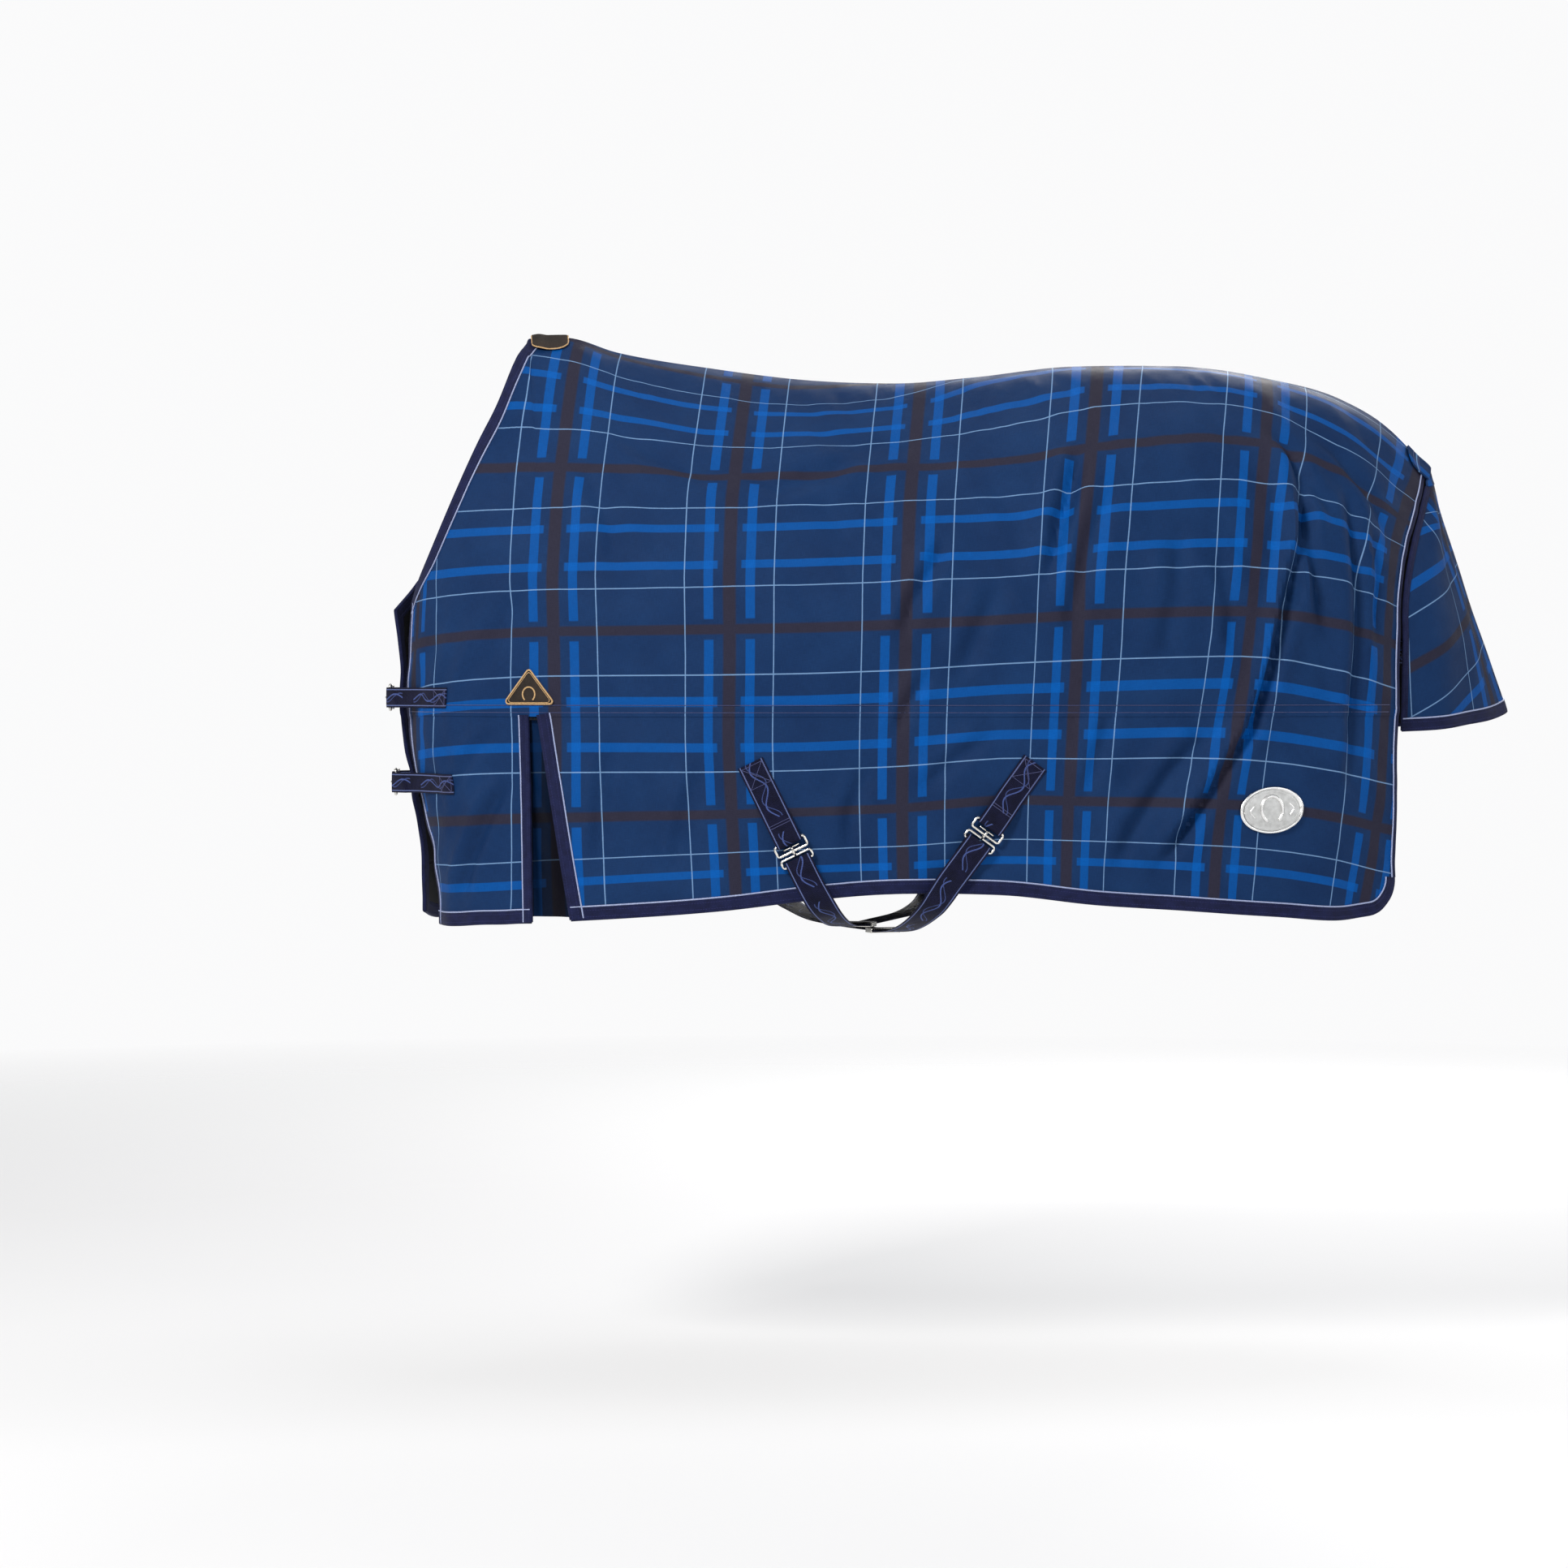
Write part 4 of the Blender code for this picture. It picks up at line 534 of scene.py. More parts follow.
# ------------------------------------------------------------------ procedural materials
class Nodes:
    """Small helper that strings shader nodes together."""

    def __init__(self, name):
        self.m = bpy.data.materials.new(name)
        self.m.use_nodes = True
        self.t = self.m.node_tree
        self.b = self.t.nodes["Principled BSDF"]

    def new(self, kind, **sockets):
        n = self.t.nodes.new(kind)
        for k, v in sockets.items():
            setattr(n, k, v)
        return n

    def put(self, socket, v):
        if isinstance(v, bpy.types.NodeSocket):
            self.t.links.new(v, socket)
        else:
            socket.default_value = v

    def math(self, op, a, b=0.0, c=0.0):
        n = self.new("ShaderNodeMath", operation=op)
        self.put(n.inputs[0], a)
        self.put(n.inputs[1], b)
        self.put(n.inputs[2], c)
        return n.outputs[0]

    def mix(self, f, a, b):
        n = self.new("ShaderNodeMix", data_type="RGBA")
        self.put(n.inputs[0], f)
        self.put(n.inputs[6], a if isinstance(a, bpy.types.NodeSocket) else (*a, 1))
        self.put(n.inputs[7], b if isinstance(b, bpy.types.NodeSocket) else (*b, 1))
        return n.outputs[2]

    def uv(self):
        n = self.new("ShaderNodeUVMap", uv_map="cloth")
        s = self.new("ShaderNodeSeparateXYZ")
        self.t.links.new(n.outputs[0], s.inputs[0])
        return s.outputs[0], s.outputs[1], n.outputs[0]

    def noise(self, vector, scale, detail=3.0, rough=0.55):
        n = self.new("ShaderNodeTexNoise")
        self.put(n.inputs["Vector"], vector)
        n.inputs["Scale"].default_value = scale
        n.inputs["Detail"].default_value = detail
        n.inputs["Roughness"].default_value = rough
        return n.outputs["Fac"]

    def object_coords(self):
        return self.new("ShaderNodeTexCoord").outputs["Object"]

    def band(self, x, centre, half, soft=0.0004):
        """1 inside centre +- half, with a soft edge."""
        d = self.math("ABSOLUTE", self.math("SUBTRACT", x, centre))
        n = self.new("ShaderNodeMapRange")
        self.put(n.inputs[0], d)
        for i, v in ((1, half - soft), (2, half + soft), (3, 1.0), (4, 0.0)):
            n.inputs[i].default_value = v
        return n.outputs[0]

    def bump(self, height, distance, strength=1.0, normal=None):
        n = self.new("ShaderNodeBump")
        n.inputs["Strength"].default_value = strength
        n.inputs["Distance"].default_value = distance
        self.put(n.inputs["Height"], height)
        if normal is not None:
            self.put(n.inputs["Normal"], normal)
        return n.outputs[0]

    def ramp(self, f, lo, hi, a, b):
        n = self.new("ShaderNodeMapRange")
        self.put(n.inputs[0], f)
        for i, v in ((1, lo), (2, hi), (3, a), (4, b)):
            n.inputs[i].default_value = v
        return n.outputs[0]

    def set(self, **k):
        names = {"color": "Base Color", "rough": "Roughness", "metal": "Metallic", "normal": "Normal", "sheen": "Sheen Weight", "sheen_rough": "Sheen Roughness",
                 "spec": "Specular IOR Level", "coat": "Coat Weight", "coat_rough": "Coat Roughness", "aniso": "Anisotropic"}
        for a, v in k.items():
            s = self.b.inputs[names[a]]
            if isinstance(v, bpy.types.NodeSocket):
                self.t.links.new(v, s)
            elif a == "color":
                s.default_value = (*v, 1)
            else:
                s.default_value = v
        return self.m


def srgb(r, g, b):
    f = lambda c: c / 12.92 if c <= 0.04045 else ((c + 0.055) / 1.055) ** 2.4
    return f(r / 255), f(g / 255), f(b / 255)


NAVY, NAVY_DARK = srgb(22, 52, 94), srgb(17, 43, 82)
BLUE, BLUE_BRIGHT = srgb(4, 76, 148), srgb(0, 86, 168)
BROWN, PALE = srgb(46, 40, 48), srgb(120, 156, 198)
WARP, WEFT = 0.256, 0.249


def plaid(name, dark=1.0):
    n = Nodes(name)
    u, v, uv = n.uv()
    scaled = lambda c: tuple(x * dark for x in c)
    # one repeat each way; warp cells alternate banded and plain, weft cells alternate brown and blue
    a = n.math("MULTIPLY", n.math("FRACT", n.math("ADD", n.math("DIVIDE", u, WARP), 0.25 + 40)), WARP)
    b = n.math("MULTIPLY", n.math("FRACT", n.math("ADD", n.math("DIVIDE", v, WEFT), 40.0)), WEFT)
    ca, cb, cd = WARP * 0.25 - 0.003, WEFT * 0.25, WEFT * 0.75
    brown_v, brown_h = n.band(a, ca, 0.0092, 0.0014), n.band(b, cb, 0.0072, 0.0014)
    open_v, open_h = n.band(a, ca, 0.0170, 0.0010), n.band(b, cb, 0.0150, 0.0010)
    keep_h, keep_v = n.math("SUBTRACT", 1.0, open_v), n.math("SUBTRACT", 1.0, open_h)
    blue_v = n.math("MULTIPLY", n.math("MAXIMUM", n.band(a, ca - 0.0300, 0.0068), n.band(a, ca + 0.0300, 0.0068)), keep_v)
    blue_h = n.math("MULTIPLY", n.math("MAXIMUM", n.band(b, cd - 0.0290, 0.0062), n.band(b, cd + 0.0290, 0.0062)), keep_h)
    line_v = n.math("MAXIMUM", n.band(a, WARP - 0.003, 0.0008, 0.0003), n.band(a, WARP / 2 - 0.003, 0.0008, 0.0003))
    line_h = n.math("MAXIMUM", n.math("MAXIMUM", n.band(b, 0.0, 0.0008, 0.0003), n.band(b, WEFT, 0.0008, 0.0003)), n.band(b, WEFT / 2, 0.0008, 0.0003))
    # yarn by yarn unevenness, and a broad tone change
    stretch = n.new("ShaderNodeMapping")
    n.put(stretch.inputs[0], uv)
    stretch.inputs["Scale"].default_value = (2600, 90, 1)
    yarn1 = n.noise(stretch.outputs[0], 1.0, 2)
    stretch2 = n.new("ShaderNodeMapping")
    n.put(stretch2.inputs[0], uv)
    stretch2.inputs["Scale"].default_value = (90, 2600, 1)
    yarn2 = n.noise(stretch2.outputs[0], 1.0, 2)
    tone = n.noise(uv, 9.0, 4)
    base = n.mix(n.ramp(tone, 0.3, 0.7, 0, 1), scaled(NAVY_DARK), scaled(NAVY))
    col = n.mix(n.math("MULTIPLY", n.math("MAXIMUM", brown_v, brown_h), 0.82), base, scaled(BROWN))
    col = n.mix(n.math("MULTIPLY", n.math("MAXIMUM", blue_v, blue_h), 0.94), col, scaled(BLUE))
    col = n.mix(n.math("MULTIPLY", n.math("MULTIPLY", blue_v, blue_h), 0.9), col, scaled(BLUE_BRIGHT))
    col = n.mix(n.math("MULTIPLY", n.math("MAXIMUM", line_v, line_h), 0.80), col, scaled(PALE))
    yarn = n.math("MULTIPLY", n.ramp(yarn1, 0.3, 0.7, 0.88, 1.12), n.ramp(yarn2, 0.3, 0.7, 0.88, 1.12))
    hs = n.new("ShaderNodeHueSaturation")
    n.put(hs.inputs["Color"], col)
    n.put(hs.inputs["Value"], yarn)
    # coated plain weave: crossing threads 0.9 mm apart
    w1 = n.math("SINE", n.math("MULTIPLY", u, 2 * math.pi / 0.0011))
    w2 = n.math("SINE", n.math("MULTIPLY", v, 2 * math.pi / 0.0011))
    weave = n.math("MULTIPLY", w1, w2)
    crinkle = n.noise(uv, 60.0, 4, 0.6)
    height = n.math("ADD", n.math("MULTIPLY", weave, 0.10), n.math("MULTIPLY", crinkle, 0.9))
    rough = n.ramp(n.noise(uv, 26.0, 3), 0.3, 0.7, 0.46, 0.60)
    return n.set(color=hs.outputs[0], rough=rough, normal=n.bump(height, 0.0012, 0.55), sheen=0.0, sheen_rough=0.4, spec=0.07)


def lining_material():
    n = Nodes("lining")
    u, v, uv = n.uv()
    q = n.noise(uv, 18.0, 3)
    col = n.mix(n.ramp(q, 0.3, 0.7, 0, 1), srgb(7, 8, 13), srgb(15, 16, 24))
    weave = n.math("MULTIPLY", n.math("SINE", n.math("MULTIPLY", u, 2 * math.pi / 0.0008)), n.math("SINE", n.math("MULTIPLY", v, 2 * math.pi / 0.0008)))
    # quilting lines sewn through the lining every 100 mm
    ql = n.math("MAXIMUM", n.band(n.math("FRACT", n.math("ADD", n.math("MULTIPLY", u, 10.0), 40)), 0.5, 0.02, 0.01), n.band(n.math("FRACT", n.math("ADD", n.math("MULTIPLY", v, 10.0), 40)), 0.5, 0.02, 0.01))
    h = n.math("SUBTRACT", n.math("ADD", n.math("MULTIPLY", weave, 0.08), n.noise(uv, 45.0, 4)), ql)
    return n.set(color=col, rough=0.50, normal=n.bump(h, 0.0012, 0.6), sheen=0.02, spec=0.15)


def tape_material(name, a, b, pitch=0.0016, width=None):
    """Woven tape: u runs across it, v along it, both in metres."""
    n = Nodes(name)
    u, v, uv = n.uv()
    rib = n.math("SINE", n.math("MULTIPLY", n.math("ADD", v, n.math("MULTIPLY", n.math("ABSOLUTE", n.math("SUBTRACT", n.math("FRACT", n.math("DIVIDE", u, 0.005)), 0.5)), 0.0020)), 2 * math.pi / pitch))
    cross = n.math("SINE", n.math("MULTIPLY", u, 2 * math.pi / 0.0012))
    q = n.noise(uv, 60.0, 3)
    col = n.mix(n.ramp(n.math("ADD", n.math("MULTIPLY", rib, 0.16), q), 0.25, 0.75, 0, 1), a, b)
    h = n.math("ADD", n.math("MULTIPLY", rib, 0.5), n.math("MULTIPLY", cross, 0.25))
    return n, col, h, u, v, uv


def binding_material():
    n, col, h, u, v, uv = tape_material("binding_tape", srgb(16, 20, 48), srgb(27, 33, 72))
    # two stitch rows, along v
    dash = n.math("LESS_THAN", n.math("FRACT", n.math("DIVIDE", v, 0.0040)), 0.70)
    rows = n.math("MULTIPLY", n.math("MAXIMUM", n.band(u, 0.0030, 0.00045, 0.0002), n.band(u, 0.0125, 0.00045, 0.0002)), dash)
    col = n.mix(n.math("MULTIPLY", rows, 0.7), col, srgb(46, 50, 98))
    h = n.math("ADD", n.math("MULTIPLY", h, 0.5), n.math("MULTIPLY", rows, 1.4))
    return n.set(color=col, rough=0.62, normal=n.bump(h, 0.0005, 0.8), sheen=0.03, sheen_rough=0.4, spec=0.12)


def webbing_material(width):
    n, col, h, u, v, uv = tape_material(f"webbing_{int(width * 1000)}", srgb(10, 12, 32), srgb(22, 24, 54), 0.0022)
    edge = n.math("MAXIMUM", n.band(u, 0.0032, 0.00075, 0.0002), n.band(u, width - 0.0032, 0.00075, 0.0002))
    # woven-in wave and dots, a plain ornament
    wave = n.math("MULTIPLY", n.math("SINE", n.math("MULTIPLY", v, 2 * math.pi / 0.055)), width * 0.17)
    d = n.math("ABSOLUTE", n.math("SUBTRACT", n.math("SUBTRACT", u, width / 2), wave))
    curl = n.ramp(d, 0.0008, 0.0014, 1.0, 0.0)
    gate = n.math("LESS_THAN", n.math("FRACT", n.math("DIVIDE", v, 0.110)), 0.80)
    wave2 = n.math("MULTIPLY", n.math("SINE", n.math("ADD", n.math("MULTIPLY", v, 2 * math.pi / 0.055), 1.1)), width * 0.22)
    d2 = n.math("ABSOLUTE", n.math("SUBTRACT", n.math("SUBTRACT", u, width / 2), wave2))
    curl2 = n.ramp(d2, 0.0005, 0.0010, 0.7, 0.0)
    motif = n.math("MULTIPLY", n.math("MAXIMUM", curl, curl2), gate)
    col = n.mix(n.math("MULTIPLY", edge, 0.85), col, srgb(104, 118, 168))
    col = n.mix(n.math("MULTIPLY", motif, 0.8), col, srgb(80, 98, 160))
    return n.set(color=col, rough=0.60, normal=n.bump(h, 0.0007, 0.8), sheen=0.02, sheen_rough=0.4, spec=0.12)


def piping_material():
    n = Nodes("piping")
    p = n.object_coords()
    q = n.noise(p, 900.0, 2)
    col = n.mix(n.ramp(q, 0.3, 0.7, 0, 1), srgb(128, 140, 182), srgb(172, 182, 214))
    return n.set(color=col, rough=0.5, normal=n.bump(q, 0.0003, 0.6), sheen=0.05)


def leather_material():
    n = Nodes("patch_leather")
    p = n.object_coords()
    vor = n.new("ShaderNodeTexVoronoi")
    n.put(vor.inputs["Vector"], p)
    vor.inputs["Scale"].default_value = 900.0
    big = n.noise(p, 55.0, 4)
    col = n.mix(n.ramp(big, 0.3, 0.7, 0, 1), srgb(30, 24, 20), srgb(50, 40, 34))
    h = n.math("ADD", n.math("MULTIPLY", vor.outputs["Distance"], 0.8), n.math("MULTIPLY", big, 0.5))
    return n.set(color=col, rough=n.ramp(big, 0.3, 0.7, 0.42, 0.58), normal=n.bump(h, 0.0006, 0.7), spec=0.2)


def edge_material():
    n = Nodes("patch_edge")
    q = n.noise(n.object_coords(), 700.0, 2)
    col = n.mix(n.ramp(q, 0.3, 0.7, 0, 1), srgb(168, 130, 84), srgb(214, 178, 128))
    return n.set(color=col, rough=0.5, normal=n.bump(q, 0.0003, 0.5))


def steel_material(name, a, b, rough):
    n = Nodes(name)
    p = n.object_coords()
    q = n.noise(p, 140.0, 4)
    fine = n.noise(p, 1500.0, 2)
    col = n.mix(n.ramp(q, 0.35, 0.7, 0, 1), a, b)
    return n.set(color=col, metal=1.0, rough=n.ramp(q, 0.3, 0.75, rough, rough + 0.12), normal=n.bump(fine, 0.00008, 0.5))


def thread_material():
    n = Nodes("thread")
    q = n.noise(n.object_coords(), 1200.0, 2)
    return n.set(color=n.mix(n.ramp(q, 0.3, 0.7, 0, 1), srgb(40, 44, 88), srgb(70, 76, 126)), rough=0.6, sheen=0.3)


PLAID, LININGM, BINDM = plaid("shell_check"), lining_material(), binding_material()
# the insert's copy of the check, darkened to a fifth: painted shade for the cloth set back in the shoulder slot
PLAID_PAINTED_SHADE = plaid("gusset_check_painted_shade", 0.20)
WEB40, WEB30, PIPE = webbing_material(WEB_W), webbing_material(CHEST_WEB_W), piping_material()
LEATHERM, EDGEM, THREAD = leather_material(), edge_material(), thread_material()
STEELM = steel_material("plated_steel", (0.80, 0.78, 0.73), (0.62, 0.60, 0.56), 0.14)
SILVERM = steel_material("badge_silver", (0.92, 0.915, 0.90), (0.84, 0.835, 0.82), 0.24)
RECESSM = steel_material("badge_recess", (0.62, 0.62, 0.61), (0.50, 0.50, 0.49), 0.38)

# ------------------------------------------------------------------ shell and lining
INN = -(SHELL_T + LINING_GAP)
spine_sheet("shell_back", 0.0, -SHELL_T, PLAID, lapped=True, extra=0.0030)
spine_sheet("lining_back", INN, INN - LINING_T, LININGM, extra=0.0080)


def lower_grid(side, part, nu, nv, start=0.0005):
    g = DRAPE[side]
    s = np.linspace(0, 1, nv)
    U, D = np.zeros((nu, nv)), np.zeros((nu, nv))
    for j, t in enumerate(s):
        if part == "chest":
            e = g.u_at(SLOT_FRONT_X[0] + (SLOT_FRONT_X[1] - SLOT_FRONT_X[0]) * t, SEAM_Z + (-0.80 - SEAM_Z) * t)
            U[:, j] = np.linspace(0, e, nu)
        else:
            e = g.u_at(SLOT_REAR_X[0] + (SLOT_REAR_X[1] - SLOT_REAR_X[0]) * t, SEAM_Z + (-0.795 - SEAM_Z) * t)
            U[:, j] = np.concatenate([np.linspace(e, g.top - CORNER, nu - 20), g.top - CORNER + CORNER * np.sin(np.linspace(0, math.pi / 2, 21)[1:])])
        seam = g.seam(U[:, j]) + start
        D[:, j] = seam + (g.length(U[:, j]) - seam) * t
    return U, D


LOWER = {}
for side, word in SIDES.items():
    for part, nu in (("chest", 56), ("side", 206)):
        U, D = lower_grid(side, part, nu, 50)
        LOWER[(side, part)] = (U, D)
        open_grid(f"shell_{part}_{word}", side, U, D, 0.0, -SHELL_T, PLAID)
        U, D = lower_grid(side, part, nu, 50, 0.0085)
        open_grid(f"lining_{part}_{word}", side, U, D, INN, INN - LINING_T, LININGM)
    # the insert let into the shoulder slot, a little behind the panels, in soft pleats; its check is darkened to a
    # fifth as painted shade of the slot
    g = DRAPE[side]
    U, D, H = np.zeros((34, 50)), np.zeros((34, 50)), np.zeros((34, 50))
    for j, t in enumerate(np.linspace(0, 1, 50)):
        z = -0.492 + (-0.795 + 0.492) * t
        a = g.u_at(SLOT_FRONT_X[0] - 0.018, z)
        b = g.u_at(SLOT_REAR_X[0] + (SLOT_REAR_X[1] - SLOT_REAR_X[0]) * t + 0.018, z)
        U[:, j] = np.linspace(a, b, 34)
        D[:, j] = g.depth(U[:, j], z)
        k = np.linspace(0, 1, 34)
        H[:, j] = -0.0070 - 0.020 * t * np.sin(math.pi * k) ** 1.5 + 0.0016 * t * np.sin(k * 17)
    uv = np.stack(g.weave(U, D), -1)
    v, f, t = slab(g.at(U, D, H), g.at(U, D, H - 0.0012), uv)
    build(f"insert_{word}", v, f, PLAID_PAINTED_SHADE, t)


# ------------------------------------------------------------------ edge binding and its piping
def tree(*names):
    verts, faces, n = [], [], 0
    for name in names:
        me = PIECES[name].data
        co = np.zeros(len(me.vertices) * 3)
        me.vertices.foreach_get("co", co)
        verts += co.reshape(-1, 3).tolist()
        faces += [tuple(i + n for i in p.vertices) for p in me.polygons]
        n = len(verts)
    return BVHTree.FromPolygons(verts, faces)


def even(points, normals, step):
    p = np.asarray(points, float)
    d = np.concatenate([[0], np.cumsum(np.linalg.norm(np.diff(p, axis=0), axis=1))])
    n = max(int(round(d[-1] / step)), 4)
    s = np.linspace(0, d[-1], n + 1)
    q = np.stack([np.interp(s, d, p[:, c]) for c in range(3)], -1)
    m = np.stack([np.interp(s, d, np.asarray(normals)[:, c]) for c in range(3)], -1)
    return q, m / np.linalg.norm(m, axis=1)[:, None], s


def tube(name, pts, r, mat, sides=8, closed=False):
    pts = np.asarray(pts, float)
    n = len(pts)
    nxt, prv = (np.roll(pts, -1, 0), np.roll(pts, 1, 0)) if closed else (np.vstack([pts[1:], pts[-1:]]), np.vstack([pts[:1], pts[:-1]]))
    t = nxt - prv
    t /= np.linalg.norm(t, axis=1)[:, None]
    ref = np.array([0.31, 0.22, 0.92])
    ref -= t[0] * (ref @ t[0])
    verts, uvs = [], []
    for i in range(n):
        ref = ref - t[i] * (ref @ t[i])
        ref /= np.linalg.norm(ref)
        b = np.cross(t[i], ref)
        for k in range(sides):
            c = 2 * math.pi * k / sides
            verts.append(pts[i] + r * (ref * math.cos(c) + b * math.sin(c)))
            uvs.append((k / sides * 0.006, i * 0.002))
    faces = []
    for i in range(n if closed else n - 1):
        j = (i + 1) % n
        for k in range(sides):
            faces.append((i * sides + k, i * sides + (k + 1) % sides, j * sides + (k + 1) % sides, j * sides + k))
    if not closed:
        faces += [tuple(range(sides))[::-1], tuple(range((n - 1) * sides, n * sides))]
    return build(name, verts, faces, mat, uvs)


def tape(name, points, normals, inside, over, under, off=0.0, pipe=True, width=BIND_W, step=0.006):
    """Tape folded over an edge: its faces are laid on the shell and on the lining, and a pale piping is sewn along its inner edge."""
    q, m, s = even(points, normals, step)
    inner = np.asarray(inside, float)
    if len(inner) != len(q):
        k = np.linspace(0, 1, len(q))
        src = np.linspace(0, 1, len(inner))
        inner = np.stack([np.interp(k, src, inner[:, c]) for c in range(3)], -1)
    t = np.gradient(q, axis=0)
    t /= np.linalg.norm(t, axis=1)[:, None]
    total = SHELL_T + LINING_GAP + LINING_T
    shares = np.array([1.0, 0.97, 0.75, 0.5, 0.25, 0.06])
    rise = np.array([0.0002, 0.0010, 0.0013, 0.0013, 0.0012, 0.0012])
    rings, piping, uvs = [], [], []
    lastn, lastl = None, None
    for i in range(len(q)):
        n = m[i] - t[i] * (m[i] @ t[i])
        n /= np.linalg.norm(n)
        e = np.cross(n, t[i])
        if e @ (q[i] - inner[i]) < 0:
            e = -e
        top, low = [], []
        for sh, h in zip(shares, rise):
            x = q[i] - e * width * sh
            hit = over.ray_cast(Vector(x + n * 0.02), Vector(-n), 0.035)
            a = np.array(hit[0]) if hit[0] is not None else x
            hit = under.ray_cast(Vector(x - n * 0.02), Vector(n), 0.035)
            b = np.array(hit[0]) if hit[0] is not None else x - n * total
            top.append(a + n * (h + off))
            low.append(b - n * (h + off))
        bow = []
        mid = (top[-1] + low[-1]) / 2
        half = np.linalg.norm(top[-1] - low[-1]) / 2
        for c in np.linspace(0, math.pi, 7)[1:-1]:
            bow.append(mid + n * half * math.cos(c) + e * (0.0012 + half * 0.75 * math.sin(c)))
        ring = top + bow + low[::-1]
        rings.append(ring)
        piping.append(top[0] + n * 0.0007)
        uvs.append([(0.0185 * sh, s[i]) for sh in shares] + [(0.0, s[i])] * 5 + [(0.0185 * sh, s[i]) for sh in shares[::-1]])
    rings = np.array(rings)
    n_, m_ = rings.shape[:2]
    faces = [quads(n_, m_)]
    # close the strip on the side towards the cloth with one long face per step
    i = np.arange(n_ - 1)
    closing = np.stack([i * m_ + m_ - 1, (i + 1) * m_ + m_ - 1, (i + 1) * m_, i * m_], -1)
    faces = [tuple(f) for f in faces[0]] + [tuple(f) for f in closing] + [tuple(range(m_)), tuple(range((n_ - 1) * m_, n_ * m_))[::-1]]
    o = build(name, rings.reshape(-1, 3), faces, BINDM, np.array(uvs).reshape(-1, 2))
    if pipe:
        tube(name.replace("binding", "piping"), piping, 0.00115, PIPE, 6)
    return o


def edge_line(side, us, ds, inward):
    g = DRAPE[side]
    us, ds = np.asarray(us, float), np.asarray(ds, float)
    return g.at(us, ds), g.normal(us, ds), g.at(us + inward[0], ds + inward[1])


BINDINGS = {"back": []}
back_over, back_under = tree("shell_back"), tree("lining_back")
line = [edge_line(s, np.linspace(0, DRAPE[s].withers, 90), 0.0 * np.linspace(0, 1, 90), (0.010, 0.030)) for s in (-1, 1)]
pts = np.concatenate([line[0][0], line[1][0][::-1][1:]])
nrm = np.concatenate([line[0][1], line[1][1][::-1][1:]])
ins = np.concatenate([line[0][2], line[1][2][::-1][1:]])
tape("binding_neck", pts, nrm, ins, back_over, back_under, off=0.0003)
for side, word in SIDES.items():
    g = DRAPE[side]
    chest_o, chest_u = tree("shell_back", f"shell_chest_{word}"), tree("lining_back", f"lining_chest_{word}")
    flank_o, flank_u = tree("shell_back", f"shell_side_{word}"), tree("lining_back", f"lining_side_{word}")
    Uc, Dc = LOWER[(side, "chest")]
    Uf, Df = LOWER[(side, "side")]
    tape(f"binding_front_{word}", *edge_line(side, np.zeros(120), np.linspace(0, g.length(0.0), 120), (0.03, 0)), chest_o, chest_u, off=0.0002)
    tape(f"binding_chest_hem_{word}", *edge_line(side, Uc[:, -1], Dc[:, -1], (0, -0.03)), chest_o, chest_u)
    tape(f"binding_slot_front_{word}", *edge_line(side, Uc[-1, :], Dc[-1, :], (-0.03, 0)), chest_o, chest_u, off=0.0004, width=0.0120)
    tape(f"binding_slot_rear_{word}", *edge_line(side, Uf[0, :], Df[0, :], (0.03, 0)), flank_o, flank_u, off=0.0004)
    tape(f"binding_hem_{word}", *edge_line(side, Uf[:, -1], Df[:, -1], (0, -0.03)), flank_o, flank_u)
    tape(f"binding_rear_{word}", *edge_line(side, np.full(150, g.top), np.linspace(g.length(g.top), 0.004, 150), (-0.03, 0)), flank_o, flank_u, off=0.0002, width=0.0060)
    # double row of stitches along the panel seam
    for k, dz in enumerate((0.0030, 0.0135)):
        us = np.linspace(0.02, g.top - 0.02, 560)
        line = g.at(us, g.seam(us) - dz, 0.0010)
        tube(f"seam_stitch_{word}_{k}", line, 0.00042, THREAD, 4)


# ------------------------------------------------------------------ helpers for what lies on the cloth
def at_matrix(side, x, z, direction, lift):
    """Frame on the draped cloth: Y along the direction in the surface, Z off it."""
    g = DRAPE[side]
    u = g.u_at(x, z)
    d = g.depth(u, z)[0]
    p, n = g.at(u, d), g.normal(u, d)
    y = np.array([direction[0], 0, direction[1]], float)
    y -= n * (y @ n)
    y /= np.linalg.norm(y)
    xx = np.cross(y, n)
    m = Matrix(((xx[0], y[0], n[0]), (xx[1], y[1], n[1]), (xx[2], y[2], n[2]))).to_4x4()
    m.translation = Vector(p + n * lift)
    return m


def frame_of(origin, x, y, z):
    m = Matrix(((x[0], y[0], z[0]), (x[1], y[1], z[1]), (x[2], y[2], z[2]))).to_4x4()
    m.translation = Vector(origin)
    return m


def moved(m, pts):
    return np.array([np.array(m @ Vector(p)) for p in pts])


